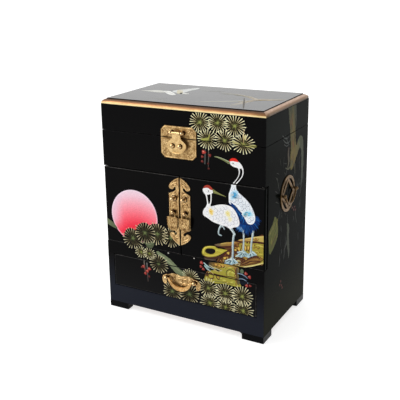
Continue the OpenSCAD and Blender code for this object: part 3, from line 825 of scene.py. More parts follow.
for n_, m_, w_ in (("base_floor", WOOD, 0.4), ("base_top_board", VELVET, 0.4), ("tray_floor", VELVET, 0.4), ("bay_uprights", INNER, 0.4),
                   ("bay_shelves", INNER, 0.5), ("drawer_runners", WOOD, 0.5), ("drawer_walls", WOOD, 0.6), ("drawer_bottom", VELVET, 0.3),
                   ("bracket_feet", FEETL, 0.5), ("tray_dividers", VELVET, 0.8), ("ring_cushion", VELVET, 0), ("hinge_pins", BRASS_DARK, 0.2),
                   ("door_pivots", STEEL, 0.2), ("door_stop_pins", STEEL, 0.15), ("lid_mirror", MIRROR, 0.8), ("case_hinge_leaves", BRASS_DARK, 0.25),
                   ("lid_hinge_leaves", BRASS_DARK, 0.25), ("side_plates", BRASS_DARK, 0.35), ("side_posts", BRASS_DARK, 0.2),
                   ("side_bail_left", BRASS_DARK, 0), ("side_bail_right", BRASS_DARK, 0), ("hasp_lower_plate", BRASS, 0.45), ("hasp_upper_plate", BRASS, 0.45),
                   ("hasp_lower_nails", BRASS_HI, 0.2), ("hasp_upper_nails", BRASS_HI, 0.2), ("hasp_eyelets", BRASS_HI, 0.1), ("hasp_pin", BRASS_HI, 0.2),
                   ("hasp_tongue", BRASS_TONGUE, 0.45), ("hasp_studs", BRASS_HI, 0), ("lock_plate_left", BRASS_LOCK, 0.45), ("lock_plate_right", BRASS_LOCK, 0.45),
                   ("lock_posts_left", BRASS_HI, 0), ("lock_posts_right", BRASS_HI, 0), ("pendant_left", BRASS_LOCK, 0.4), ("pendant_right", BRASS_LOCK, 0.4),
                   ("drawer_plate", BRASS, 0.45), ("drawer_posts", BRASS_HI, 0), ("drawer_bail", BRASS_BAIL, 0.5)):
    # rounded plate rims take the lighter rim brass, a painted highlight with wear
    dress(n_, m_, w_, rim=(DARK_RIM if m_ is BRASS_DARK else BRASS_RIM) if m_ in (BRASS, BRASS_LOCK, BRASS_DARK) and w_ >= 0.35 else None)
_pin = mbox("hasp_pin")
_pp = YF - (_pin[0].y + _pin[1].y) / 2
# dark rings round the hasp's studs: a painted shadow beside each stud, laid on as patina
sv, sf = [], []
for s_ in (-5.5, 5.5):
    v_, f_ = lathe([(3.6, -0.02), (3.64, 0.1), (3.3, 0.2), (2.8, 0.16), (2.3, 0.05), (2.0, 0.03)], on_front(s_, HASP_Z - 17, _pp - 1.3), 28)
    sf += [tuple(i + len(sv) for i in q) for q in f_]
    sv += v_
piece("hasp_stud_seats", sv, sf, PATINA_SHADOW, "hasp")


def seats(name, body, spots):
    """Dark rings round the feet of cast posts, a painted shadow laid on as patina: spots are (x, z, radius)."""
    sv, sf = [], []
    for x, z, r in spots:
        v_, f_ = lathe([(r, -0.02), (r * 0.99, 0.16), (r * 0.88, 0.3), (r * 0.72, 0.36), (r * 0.5, 0.34), (r * 0.4, 0.3)], on_front(x, z, 1.2), 28)
        sf += [tuple(i + len(sv) for i in q) for q in f_]
        sv += v_
    piece(name, sv, sf, PATINA_SHADOW, body)


# dark rings round the lock's posts, the hasp's eyelets and the drawer's posts: painted shadow
seats("lock_seats_left", "door_left", [(-7.8, LOCK_C + 18.7, 4.6), (-9.0, LOCK_C - 0.8, 3.6)])
seats("lock_seats_right", "door_right", [(7.8, LOCK_C + 18.7, 4.6), (9.0, LOCK_C - 0.8, 3.6)])
seats("eyelet_seats", "lid", [(-8.4, HASP_Z, 2.9), (8.4, HASP_Z, 2.9)])
seats("drawer_post_seats", "wide_drawer", [(-POST_X, DRAWER_C, 3.3), (POST_X, DRAWER_C, 3.3)])
for k in ("lu", "ll", "ru", "rl"):
    dress("inner_drawer_" + k, INNER, 0.7)
    dress("inner_knob_" + k, BRASS, 0)


# ---- relief on the cast plates ---------------------------------------------------------

def outlines(node, axis, sgn):
    """The closed outlines of a CAD plate's outer face, in millimetres: (x, z) on the front, (y, z) on a side."""
    me = NODES[node].data
    ua = 0 if axis == 1 else 1
    top = max(sgn * v.co[axis] for v in me.vertices)
    count, where = {}, {}
    for f in me.polygons:
        if f.normal[axis] * sgn < 0.99 or abs(sgn * f.center[axis] - top) > 1e-5:
            continue
        row = []
        for i in f.vertices:
            c = me.vertices[i].co
            k = (round(c[ua] * 1e6), round(c.z * 1e6))
            where[k] = (c[ua] / MM, c.z / MM)
            row.append(k)
        for a, b in zip(row, row[1:] + row[:1]):
            count[(a, b)] = count.get((a, b), 0) + 1
    nxt = {a: b for a, b in count if (b, a) not in count}
    loops = []
    while nxt:
        a = min(nxt)
        loop = [a]
        b = nxt.pop(a)
        while b in nxt:
            loop.append(b)
            b = nxt.pop(b)
        if len(loop) > 2:
            loops.append([where[k] for k in loop])
    return loops


def evenly(loop, pitch):
    """Points along a closed outline at an even pitch."""
    p = loop + loop[:1]
    L = [math.dist(a, b) for a, b in zip(p, p[1:])]
    n = max(3, round(sum(L) / pitch))
    out, i, s0 = [], 0, 0.0
    for k in range(n):
        want = sum(L) * k / n
        while s0 + L[i] < want:
            s0 += L[i]
            i += 1
        t = (want - s0) / (L[i] or 1)
        out.append((p[i][0] + (p[i + 1][0] - p[i][0]) * t, p[i][1] + (p[i + 1][1] - p[i][1]) * t))
    return out


class Relief:
    """Beads and raised lines that stand on one cast plate."""

    def __init__(self, place, seed=1):
        self.v, self.f, self.place = [], [], place
        self.rnd = random.Random(seed)

    def add(self, v, f):
        b = len(self.v)
        self.v += v
        self.f += [tuple(b + i for i in q) for q in f]

    def bead(self, u, v, r, rise=0.75):
        k = self.rnd.uniform(0.88, 1.12)
        prof = [(r * k, -0.05), (r * k * 0.94, r * rise * 0.36), (r * k * 0.66, r * rise * 0.8), (r * k * 0.2, r * rise)]
        self.add(*lathe(prof, lambda a, b, h: self.place(u + a, v + b, h), 8))

    def beading(self, node, axis, sgn, pitch, r, d, skip=None):
        for loop in outlines(node, axis, sgn):
            if area2(loop) < 0:
                loop = loop[::-1]
            for u, v in evenly([q[:2] for q in inset(loop, d)], pitch):
                if not (skip and skip(u, v)):
                    self.bead(u, v, r)

    def line(self, pts, r=0.32):
        p = catmull([(a, b, c) if len(q) > 2 else (*q, 1.0) for q in pts for a, b, c in [(*q, 1.0)[:3]]], False, 0.8)
        n = len(p)
        path = []
        for i, (u, v, k) in enumerate(p):
            end = min(1.0, 0.35 + min(i, n - 1 - i) * 0.3)
            path.append((self.place(u, v, -0.05), r * k * end))
        self.add(*tube(path, 6))

    def ring(self, u, v, R, r=0.3, n=20):
        self.line([(u + R * math.cos(2 * math.pi * i / n), v + R * math.sin(2 * math.pi * i / n)) for i in range(n + 1)], r)

    def piece(self, name, mat, body):
        return piece(name, self.v, self.f, mat, body, ())


plate_t = (mbox("lock_plate_right")[1].y - mbox("lock_plate_right")[0].y)
LH = (mbox("lock_plate_right")[1].z - mbox("lock_plate_right")[0].z) / 2
for s_, side in ((1, "right"), (-1, "left")):
    r_ = Relief(lambda u, v, h: (u, YF - plate_t - h, v), 5 + s_)
    r_.beading(f"lock_plate_{side}", 1, -1, 1.55, 0.52, 0.8, lambda u, v: abs(u) < 1.9 and False)
    for t_ in (1, -1):
        for path in ([(3.2, -5), (5.4, -7), (8.4, -8), (11.2, -9.8), (12.9, -12), (12.7, -14), (11.2, -14.8), (10, -13.8), (10.7, -12.6)],
                     [(3.1, -24), (3.5, -20), (3.3, -15.6), (3.6, -11), (5.6, -9.6), (7.2, -10.4), (6.9, -11.9), (5.7, -11.6)],
                     [(4.2, -24), (6.4, -22), (9.2, -21.8), (10.6, -23.6), (9.6, -25.2), (7.9, -24.8)],
                     [(13.4, -25.5), (12.2, -28.4), (13.2, -31.4), (11.6, -33.4), (9.8, -32.6)]):
            r_.line([(s_ * a, LOCK_C + t_ * (LH + b)) for a, b in path], 0.34)
    for path in ([(3.2, 18), (3.6, 13), (3.0, 8), (4.4, 4.4), (3.4, 0)], [(4.6, 10.5), (7, 12.6), (9.8, 11.4), (9.8, 9), (7.8, 8.4), (7, 9.8)],
                 [(13.6, 20), (12.6, 16), (13.6, 12), (12.4, 8), (13.4, 3)], [(12.4, 13), (10.6, 14.2), (9.8, 13.2)], [(6.2, 5), (8.6, 5.8), (11, 4.4)]):
        r_.line([(s_ * a, LOCK_C + b) for a, b in path], 0.34)
    _px, _pz = s_ * 7.8, LOCK_C + 18.7
    r_.ring(_px, _pz, 4.4, 0.3)
    r_.piece(f"lock_{side}_chasing", BRASS_RIM, f"door_{side}")
    q_ = Relief(lambda u, v, h: (u, mbox(f"pendant_{side}")[0].y - h, v), 9)
    _lo, _hi = mbox(f"pendant_{side}")
    _cx, _zt = (_lo.x + _hi.x) / 2, _hi.z - 0.7
    for path in ([(-5.6, -8.4), (-4, -11.6), (-5.2, -14.6), (-3, -18), (-3.6, -20.6)], [(5.6, -8.4), (4, -11.6), (5.2, -14.6), (3, -18), (3.6, -20.6)],
                 [(0, -8.2), (-1.8, -10.6), (0, -13), (1.8, -10.6), (0, -8.2)], [(0, -14), (-2.2, -16), (0, -17.8), (2.2, -16), (0, -14)]):
        q_.line([(_cx + a, _zt + b) for a, b in path], 0.3)
    q_.piece(f"pendant_{side}_chasing", BRASS_RIM, f"pull_{side}")

_hl, _hu = mbox("hasp_lower_plate"), mbox("hasp_upper_plate")
for name, body, lo, hi, up in (("hasp_lower_chasing", "case", *_hl, -1), ("hasp_upper_chasing", "lid", *_hu, 1)):
    r_ = Relief(lambda u, v, h: (u, YF - plate_t - h, v), 12)
    zc = lo.z if up < 0 else hi.z
    d_ = 1 if up < 0 else -1
    for s_ in (-1, 1):
        r_.line([(s_ * 1.0, zc + d_ * 1.3), (s_ * 12, zc + d_ * 1.3), (s_ * 20.2, zc + d_ * 1.4), (s_ * 22, zc + d_ * 3.2), (s_ * 23.6, zc + d_ * 5), (s_ * 24.7, zc + d_ * 6.4), (s_ * 24.7, zc + d_ * (hi.z - lo.z - 1))], 0.28)
        for path in ([(22.4, 9), (21, 12), (22.6, 13.4)], [(17.6, 4.2), (15, 6.4), (12.6, 5), (13.6, 3.4), (15.2, 4)], [(18.4, 8), (16.6, 10), (17.8, 12.2)]):
            if max(b for _, b in path) < hi.z - lo.z - 1:
                r_.line([(s_ * a, zc + d_ * b) for a, b in path], 0.3)
        if up < 0:
            for path in ([(22.8, 17), (21.4, 20), (22.8, 23)], [(17.6, 15), (19, 18.4), (17, 20), (17.8, 23.4)]):
                r_.line([(s_ * a, zc + d_ * b) for a, b in path], 0.3)
    r_.piece(name, BRASS_RIM, body)

r_ = Relief(lambda u, v, h: (u, YF - plate_t - h, v), 20)
r_.beading("drawer_plate", 1, -1, 2.1, 0.55, 0.9)
_dp = mbox("drawer_plate")
_dc = _dp[1].z - 7
for path in ([(-9, 3.6), (-4, 1), (0, 2.6), (4, 1), (9, 3.6)], [(-14, 3.4), (-11, 0), (-12.6, -3.4), (-9.4, -5.6)], [(14, 3.4), (11, 0), (12.6, -3.4), (9.4, -5.6)],
             [(-6, -3), (-3, -5.4), (0, -3.4), (3, -5.4), (6, -3)], [(-26.6, -1.6), (-27.6, -4.6), (-26.6, -7.4), (-25.4, -6.4)], [(26.6, -1.6), (27.6, -4.6), (26.6, -7.4), (25.4, -6.4)]):
    r_.line([(a, _dc + b) for a, b in path], 0.32)
for a, b in ((0, -0.4), (-3.4, 4.4), (3.4, 4.4), (0, -8.6)):
    r_.bead(a, _dc + b, 0.8)
r_.piece("drawer_plate_chasing", BRASS_RIM, "wide_drawer")

# coin plates of the side handles: a raised line each side of the ring and the frame
for s_, side in ((1, "right"), (-1, "left")):
    r_ = Relief(lambda u, v, h: (s_ * (HW + plate_t + h), u, v), 30)
    for rr in (COIN_R - 0.75, COIN_R - 3.3):
        r_.ring(SIDE_Y, SIDE_Z, rr, 0.26, 64)
    for q in (COIN_R - 4.2, COIN_R - 7.2):
        pts = [(q, 0), (0, q), (-q, 0), (0, -q), (q, 0)]
        for a, b in zip(pts, pts[1:]):
            r_.line([(SIDE_Y + a[0], SIDE_Z + a[1]), (SIDE_Y + (a[0] + b[0]) / 2, SIDE_Z + (a[1] + b[1]) / 2), (SIDE_Y + b[0], SIDE_Z + b[1])], 0.24)
    r_.piece(f"side_{side}_chasing", DARK_RIM, "case")

# slotted screws in the lid's hinges
_ch, _lh = mbox("case_hinge_leaves"), mbox("lid_hinge_leaves")
for name, body, zs in (("case_hinge_screws", "case", (_ch[0].z + 3.2, _ch[0].z + 8.4)), ("lid_hinge_screws", "lid", (_lh[1].z - 3.2, _lh[1].z - 8.4))):
    v, f = [], []
    rs = random.Random(4)
    for hx in (-70, 70):
        for dx, z in ((-12, zs[0]), (0, zs[1]), (12, zs[0])):
            a = rs.uniform(0, math.pi)
            ca, sa = math.cos(a), math.sin(a)
            y0 = YB + 1.0
            for half in (1, -1):   # two halves of a domed head with the slot between them
                prof = [(1.5, 0.0), (1.45, 0.3), (1.0, 0.55), (0.3, 0.62)]
                ring = []
                b0 = len(v)
                for r, h in prof:
                    for i in range(9):
                        t = math.pi * i / 8
                        u, w = r * math.cos(t), half * (0.16 + r * math.sin(t) * 0.9)
                        v.append((hx + dx + u * ca - w * sa, y0 + h, z + u * sa + w * ca))
                for k in range(3):
                    for i in range(9):
                        j = (i + 1) % 9
                        q = (b0 + k * 9 + i, b0 + k * 9 + j, b0 + (k + 1) * 9 + j, b0 + (k + 1) * 9 + i)
                        f.append(q if half > 0 else q[::-1])
                f.append(tuple(b0 + i for i in range(9))[::-half])
                f.append(tuple(b0 + 27 + i for i in range(9))[::half])
    ob = piece(name, v, f, BRASS_DARK, body, (), smooth=False)
    bm = bmesh.new(); bm.from_mesh(ob.data); bmesh.ops.recalc_face_normals(bm, faces=bm.faces); bm.to_mesh(ob.data); bm.free()


# ---- velvet linings --------------------------------------------------------------------

def lining(name, body, slabs):
    b = Build()
    for lo, hi, edges in slabs:
        b.slab(lo, hi, edges, 0.35)
    return b.piece(name, VELVET, body, (), "red_velvet")


_tf, _mir = mbox("tray_floor"), mbox("lid_mirror")
zf, zr, t_ = _tf[1].z + 0.04, Z_SEAM - 7.0, 0.8
yi = _tf[0].y
lining("tray_lining", "case", [
    ((-IN_X + 0.02, yi + 0.02, zf), (IN_X - 0.02, yi + t_, zr), ["BT"]),
    ((-IN_X + 0.02, IN_Y - t_, zf), (IN_X - 0.02, IN_Y - 0.02, zr), ["FT"]),
    ((IN_X - t_, yi + t_ + 0.02, zf), (IN_X - 0.02, IN_Y - t_ - 0.02, zr), ["LT"]),
    ((-IN_X + 0.02, yi + t_ + 0.02, zf), (-IN_X + t_, IN_Y - t_ - 0.02, zr), ["RT"])])
# velvet frame round the mirror, and the lid's lined walls
mz0, mz1 = _mir[0].z - 1.4, Z_CAP - 0.05
mx, my0, my1 = _mir[1].x - 1.6, _mir[0].y + 1.6, _mir[1].y - 1.6
lx, ly0, ly1 = IN_X - 0.05, _lidf[1].y + 0.05, IN_Y - 0.05
lining("mirror_frame", "lid", [
    ((-lx, ly0, mz0), (lx, my0, mz1), ["BB"]),
    ((-lx, my1, mz0), (lx, ly1, mz1), ["FB"]),
    ((mx, my0 + 0.02, mz0), (lx, my1 - 0.02, mz1), ["LD"]),
    ((-lx, my0 + 0.02, mz0), (-mx, my1 - 0.02, mz1), ["RD"])])
lining("lid_lining", "lid", [
    ((-lx, ly0, Z_LID + 5), (lx, ly0 + t_, mz0 - 0.05), ["BB"]),
    ((-lx, ly1 - t_, Z_LID + 5), (lx, ly1, mz0 - 0.05), ["FB"]),
    ((lx - t_, ly0 + t_ + 0.02, Z_LID + 5), (lx, ly1 - t_ - 0.02, mz0 - 0.05), ["LD"]),
    ((-lx, ly0 + t_ + 0.02, Z_LID + 5), (-lx + t_, ly1 - t_ - 0.02, mz0 - 0.05), ["RD"])])
# wide drawer
_db, _dw = mbox("drawer_bottom"), mbox("drawer_walls")
x_, y0_, y1_, z0_, z1_ = _db[1].x - 0.02, _db[0].y + 0.02, _db[1].y - 0.02, _db[1].z + 0.03, _dw[1].z - 4
lining("wide_drawer_lining", "wide_drawer", [
    ((-x_, y0_, z0_), (x_, y0_ + t_, z1_ - 3), ["BT"]), ((-x_, y1_ - t_, z0_), (x_, y1_, z1_), ["FT"]),
    ((x_ - t_, y0_ + t_ + 0.02, z0_), (x_, y1_ - t_ - 0.02, z1_), ["LT"]), ((-x_, y0_ + t_ + 0.02, z0_), (-x_ + t_, y1_ - t_ - 0.02, z1_), ["RT"])])
# small drawers
for key, body in (("lu", "small_drawer_left_upper"), ("ll", "small_drawer_left_lower"), ("ru", "small_drawer_right_upper"), ("rl", "small_drawer_right_lower")):
    lo, hi = mbox("inner_drawer_" + key)
    a, b = lo + Vector((5.02, 7.02, 4.02)), Vector((hi.x - 5.02, hi.y - 5.02, hi.z - 5))
    lining(body + "_lining", body, [
        ((a.x, a.y, a.z), (b.x, b.y, a.z + 1.0), []),
        ((a.x, a.y, a.z + 1.02), (b.x, a.y + t_, b.z), ["BT"]), ((a.x, b.y - t_, a.z + 1.02), (b.x, b.y, b.z), ["FT"]),
        ((a.x, a.y + t_ + 0.02, a.z + 1.02), (a.x + t_, b.y - t_ - 0.02, b.z), ["RT"]), ((b.x - t_, a.y + t_ + 0.02, a.z + 1.02), (b.x, b.y - t_ - 0.02, b.z), ["LT"])])


# ---- padded ring rolls -------------------------------------------------------------------

def roll_mesh(length, width, height, seed):
    """One velvet roll: a long rounded bolster, blown up as cloth over its held foot."""
    bm = bmesh.new()
    nx, prof = 34, []
    w, h = width / 2 - 0.55, height - 0.8
    for i in range(15):
        a = math.pi * i / 14
        prof.append((-w * math.cos(a) * (1.0 if i in (0, 14) else 0.97), h * 0.34 + h * 0.66 * math.sin(a) ** 0.8))
    prof = [(-w, 0.0), (-w, h * 0.17)] + prof + [(w, h * 0.17), (w, 0.0), (w * 0.33, 0.0), (-w * 0.33, 0.0)]
    rings = []
    rnd = random.Random(seed)
    for k in range(nx + 1):
        x = -length / 2 + 0.5 + (length - 1.0) * k / nx
        e = min(k, nx - k)
        s_ = (0.74, 0.92, 0.98)[e] if e < 3 else 1.0
        g = 1 + 0.012 * math.sin(k * 1.3 + seed) + rnd.uniform(-0.006, 0.006)
        rings.append([bm.verts.new((x, u * s_ * g, v * (0.6 + 0.4 * s_) * g)) for u, v in prof])
    m = len(prof)
    for a, b in zip(rings, rings[1:]):
        for i in range(m):
            bm.faces.new((a[i], a[(i + 1) % m], b[(i + 1) % m], b[i]))
    bm.faces.new(rings[0][::-1])
    bm.faces.new(rings[-1])
    for v in bm.verts:
        v.co *= MM
    me = bpy.data.meshes.new("roll")
    bmesh.ops.recalc_face_normals(bm, faces=bm.faces)
    bm.to_mesh(me)
    bm.free()
    return me


def blown(me, cap, seed):
    """The mesh after 20 frames of cloth with air pressure, no point moving further than cap."""
    ob = bpy.data.objects.new("roll_sim", me)
    sc.collection.objects.link(ob)
    pin = ob.vertex_groups.new(name="pin")
    pin.add([v.index for v in me.vertices if v.co.z < 2.2 * MM], 1.0, "REPLACE")
    cl = ob.modifiers.new("cloth", "CLOTH")
    cs = cl.settings
    cs.quality = 6
    cs.mass = 0.12
    cs.tension_stiffness = cs.compression_stiffness = 22
    cs.shear_stiffness = 12
    cs.bending_stiffness = 0.4
    cs.use_pressure = True
    cs.uniform_pressure_force = 4
    cs.vertex_group_mass = "pin"
    cs.effector_weights.gravity = 0
    rest = [v.co.copy() for v in me.vertices]
    for fr in range(1, 21):
        sc.frame_set(fr)
    ev = ob.evaluated_get(bpy.context.evaluated_depsgraph_get())
    out = []
    for a, b in zip(rest, ev.data.vertices):
        d = b.co - a
        out.append(a + (d if d.length <= cap else d * (cap / d.length)))
    bpy.data.objects.remove(ob, do_unlink=True)
    sc.frame_set(1)
    return out


_rc = mbox("ring_cushion")
n_roll = 11
pitch = (_rc[1].y - _rc[0].y) / n_roll
shapes = []
for k in range(3):
    me_ = roll_mesh(_rc[1].x - _rc[0].x - 0.3, pitch, _rc[1].z - _rc[0].z, 3 + k)
    polys_ = [tuple(f.vertices) for f in me_.polygons]
    shapes.append((blown(me_, 0.75 * MM, k), polys_))
v, f = [], []
rr_ = random.Random(8)
for k in range(n_roll):
    co, polys_ = shapes[(k * 2) % 3]
    fx = -1 if k % 2 else 1
    b0 = len(v)
    hz = rr_.uniform(0.965, 1.0)
    tilt = rr_.uniform(-0.02, 0.02)
    yc = _rc[0].y + pitch * (k + 0.5)
    xc = (_rc[0].x + _rc[1].x) / 2
    for c in co:
        v.append((xc + fx * c.x / MM, yc + c.y / MM + tilt * c.z / MM, min(_rc[1].z, _rc[0].z + 0.05 + c.z / MM * hz)))
    f += [tuple(b0 + i for i in (q if fx > 0 else q[::-1])) for q in polys_]
rolls = piece("ring_rolls", v, f, VELVET, "case", ["ring_cushion"], weighted=False)
sub = rolls.modifiers.new("round", "SUBSURF")
sub.levels = sub.render_levels = 1


# ---- painted decoration ---------------------------------------------------------------

def levels(z):
    """Height on the drawing to height on the case: the drawing's own seams fall on the case's seams."""
    a = (0, 9, 34.5, 81, 99.1, 209, 260.5, 297.5)
    b = (0, Z_APRON, Z_DRAW, Z_RAIL, Z_DOOR, Z_TRAY, Z_LID - 0.3, Z_CAP)
    for i in range(7):
        if z <= a[i + 1] or i == 6:
            return b[i] + (z - a[i]) * (b[i + 1] - b[i]) / (a[i + 1] - a[i])


class Canvas:
    """Painted shapes in one plane. Each is kept as triangles with a colour at each corner, and a height."""

    def __init__(self, warp, seed):
        self.shapes = []
        self.warp = warp
        self.rnd = random.Random(seed)
        self.k = 0

    def _add(self, pts, tris, cols, layer):
        self.k += 1
        q = [self.warp(*p[:2]) for p in pts]
        out = []
        for t in tris:
            a, b, c = t
            cr = (q[b][0] - q[a][0]) * (q[c][1] - q[a][1]) - (q[c][0] - q[a][0]) * (q[b][1] - q[a][1])
            if abs(cr) < 1e-9:
                continue
            if cr < 0:
                b, c = c, b
            out.append([(q[i][0], q[i][1], *cols[i][:3]) for i in (a, b, c)])
        self.shapes.append((out, 0.05 + 0.016 * layer + 0.00002 * (self.k % 400)))

    def poly(self, pts, col, layer, smooth=True, step=1.2, rough=0.12):
        p = catmull(pts, True, step) if smooth else list(pts)
        if rough:
            p = [(x + self.rnd.uniform(-rough, rough), z + self.rnd.uniform(-rough, rough)) for x, z in p]
        tris = tessellate_polygon([[Vector((x, z, 0)) for x, z in p]])
        cols = [lin(col(x, z)) if callable(col) else lin(col) for x, z in p]
        self._add(p, tris, cols, layer)

    def stroke(self, pts, col, layer, col2=None, step=1.2, rough=0.0):
        """pts are (x, z, width); col2 is the colour at the far end."""
        p = catmull([tuple(q) for q in pts], False, step)
        n = len(p)
        left, right = [], []
        for i, (x, z, w) in enumerate(p):
            a, b = p[max(i - 1, 0)], p[min(i + 1, n - 1)]
            dx, dz = b[0] - a[0], b[1] - a[1]
            L = math.hypot(dx, dz) or 1
            w = max(0.12, w) / 2 + self.rnd.uniform(-rough, rough)
            left.append((x - dz / L * w, z + dx / L * w))
            right.append((x + dz / L * w, z - dx / L * w))
        a, b = Vector(p[0][:2]), Vector(p[1][:2])
        d = (a - b).normalized() * max(0.12, p[0][2]) * 0.42
        start = (p[0][0] + d.x, p[0][1] + d.y)
        a, b = Vector(p[-1][:2]), Vector(p[-2][:2])
        d = (a - b).normalized() * max(0.12, p[-1][2]) * 0.42
        end = (p[-1][0] + d.x, p[-1][1] + d.y)
        pts2 = left + right + [start, end]
        tris = []
        for i in range(n - 1):
            tris += [(i, i + 1, n + i), (i + 1, n + i + 1, n + i)]
        tris += [(2 * n, 0, n), (2 * n + 1, n - 1, 2 * n - 1)]
        c1, c2 = lin(col), lin(col2 or col)
        cols = [[c1[k] + (c2[k] - c1[k]) * (i % n) / (n - 1) for k in range(3)] for i in range(2 * n)] + [c1, c2]
        self._add(pts2, tris, cols, layer)

    def blob(self, x, z, rx, rz, col, layer, rim=None, rot=0.0, wob=0.1, n=14):
        """Irregular spot, shaded from its middle to its rim."""
        ph = self.rnd.uniform(0, 6)
        pts = [(x, z)]
        co, si = math.cos(rot), math.sin(rot)
        for i in range(n):
            a = 2 * math.pi * i / n
            k = 1 + wob * math.sin(3 * a + ph) + self.rnd.uniform(-wob, wob) * 0.5
            u, v = rx * k * math.cos(a), rz * k * math.sin(a)
            pts.append((x + u * co - v * si, z + u * si + v * co))
        tris = [(0, 1 + i, 1 + (i + 1) % n) for i in range(n)]
        self._add(pts, tris, [lin(col)] + [lin(rim or col)] * n, layer)

    def disc(self, x, z, r, col, layer, rings=14, seg=72):
        pts, tris = [(x, z)], []
        for k in range(1, rings + 1):
            for i in range(seg):
                a = 2 * math.pi * i / seg
                pts.append((x + r * k / rings * math.cos(a), z + r * k / rings * math.sin(a)))
        for i in range(seg):
            tris.append((0, 1 + i, 1 + (i + 1) % seg))
        for k in range(1, rings):
            for i in range(seg):
                a, b = 1 + (k - 1) * seg + i, 1 + (k - 1) * seg + (i + 1) % seg
                c, d = a + seg, b + seg
                tris += [(a, c, d), (a, d, b)]
        self._add(pts, tris, [lin(col(*p)) for p in pts], layer)


def clip(poly, rect):
    """A convex polygon with colours, cut to a rectangle."""
    u0, v0, u1, v1 = rect
    for axis, lim, keep in ((0, u0, 1), (0, u1, -1), (1, v0, 1), (1, v1, -1)):
        out = []
        n = len(poly)
        for i in range(n):
            a, b = poly[i], poly[(i + 1) % n]
            da, db = keep * (a[axis] - lim), keep * (b[axis] - lim)
            if da >= 0:
                out.append(a)
            if (da > 0 > db) or (da < 0 < db):
                t = da / (da - db)
                out.append(tuple(p + (q - p) * t for p, q in zip(a, b)))
        poly = out
        if len(poly) < 3:
            return []
    return poly


def lay(canvas, name, rect, place, body, mat):
    """The canvas's shapes inside the rectangle, as thin closed coats of paint on a board."""
    verts, faces, cols = [], [], []
    for tris, h in canvas.shapes:
        kept = []
        for t in tris:
            us, vs = [p[0] for p in t], [p[1] for p in t]
            if max(us) <= rect[0] or min(us) >= rect[2] or max(vs) <= rect[1] or min(vs) >= rect[3]:
                continue
            inside = min(us) >= rect[0] and max(us) <= rect[2] and min(vs) >= rect[1] and max(vs) <= rect[3]
            q = t if inside else clip([tuple(p) for p in t], rect)
            if len(q) >= 3:
                kept.append(q)
        if not kept:
            continue
        ids, pts, edge = {}, [], {}
        polys = []
        for q in kept:
            row = []
            for p in q:
                key = (round(p[0], 4), round(p[1], 4))
                if key not in ids:
                    ids[key] = len(pts)
                    pts.append(p)
                if not row or row[-1] != ids[key]:
                    row.append(ids[key])
            if row and row[0] == row[-1] and len(row) > 1:
                row.pop()
            if len(row) < 3:
                continue
            polys.append(row)
            for a, b in zip(row, row[1:] + row[:1]):
                edge[(a, b)] = edge.get((a, b), 0) + 1
        base = len(verts)
        m = len(pts)
        verts += [place(p[0], p[1], h) for p in pts] + [place(p[0], p[1], -0.02) for p in pts]
        for row in polys:
            faces.append([base + i for i in row])
            cols += [pts[i][2:5] for i in row]
            faces.append([base + m + i for i in reversed(row)])
            cols += [pts[i][2:5] for i in reversed(row)]
        for a, b in edge:
            if (b, a) not in edge:
                faces.append([base + b, base + a, base + m + a, base + m + b])
                cols += [pts[i][2:5] for i in (b, a, a, b)]
    if not faces:
        return None
    return piece(name, verts, faces, mat, body, (), smooth=False, attrs={"Paint": cols}, weighted=False)


front = Canvas(lambda x, z: (x, levels(z)), 3)

CREAM, OLIVE, BARK = (226, 216, 188), (132, 136, 60), (96, 92, 62)


def cluster(c, x, z, r, n=24, dim=1.0, dark=0.0, a0=0, a1=360, layer=4, squash=0.95, low=False):
    """Pine tuft: separate needles, dark and thin inside, wider and cream at their tips, round a green heart."""
    g = c.rnd
    mul = lambda col, k=1.0: tuple(min(255, v * dim * k) for v in col)
    if dark:
        c.blob(x, z, r * dark * 0.92, r * dark * 0.92 * squash, (6, 5, 5), layer - 1, wob=0.04, n=24)
    m = n if a1 - a0 >= 360 else n - 1
    for i in range(n):
        a = math.radians(a0 + (a1 - a0) * (i + g.uniform(-0.13, 0.13)) / m)
        r0, r1 = r * g.uniform(0.12, 0.2), r * g.uniform(0.9, 1.07)
        ca, sa = math.cos(a), math.sin(a) * squash
        bend = g.uniform(-0.03, 0.03) * r
        k = g.uniform(0.86, 1.08)
        warm = g.choice([(84, 76, 50), (92, 74, 58), (80, 88, 48)])
        rm = r0 + (r1 - r0) * (g.uniform(0.46, 0.56) if low else g.uniform(0.3, 0.4))
        p0 = (x + r0 * ca, z + r0 * sa, 0.28)
        p1 = (x + rm * ca - bend * sa, z + rm * sa + bend * ca, 0.5)
        p2 = (x + r1 * ca, z + r1 * sa, g.uniform(0.95, 1.2))
        c.stroke([p0, p1], mul(warm, k), layer, mul((124, 112, 72), k), step=4)
        c.stroke([p1, p2], mul((170, 156, 106) if low else (196, 182, 126), k), layer + 0.4, mul((255, 244, 196) if low else (255, 250, 204), k), step=4)
    green, deep = ((124, 138, 82), (66, 78, 46)) if low else ((152, 158, 80), (96, 98, 52))
    for i in range(9):
        a = 2 * math.pi * i / 9 + g.uniform(-0.3, 0.3)
        L = r * g.uniform(0.2, 0.44)
        c.stroke([(x, z, 1.3), (x + L * math.cos(a), z + L * math.sin(a) * squash, 0.4)], mul(green), layer + 1, mul(deep), step=3)
    c.blob(x, z, r * 0.14, r * 0.12, mul([v * 1.08 for v in green]), layer + 1.5, mul(green, 0.8), wob=0.2)


def berry(c, x, z, r=2.4, dim=1.0, layer=9):
    c.blob(x, z, r, r * 0.95, tuple(v * dim for v in (224, 88, 76)), layer, tuple(v * dim for v in (146, 50, 46)), wob=0.16)
    c.blob(x - r * 0.3, z + r * 0.3, r * 0.28, r * 0.25, tuple(v * dim for v in (250, 170, 150)), layer + 1, wob=0.1, n=8)


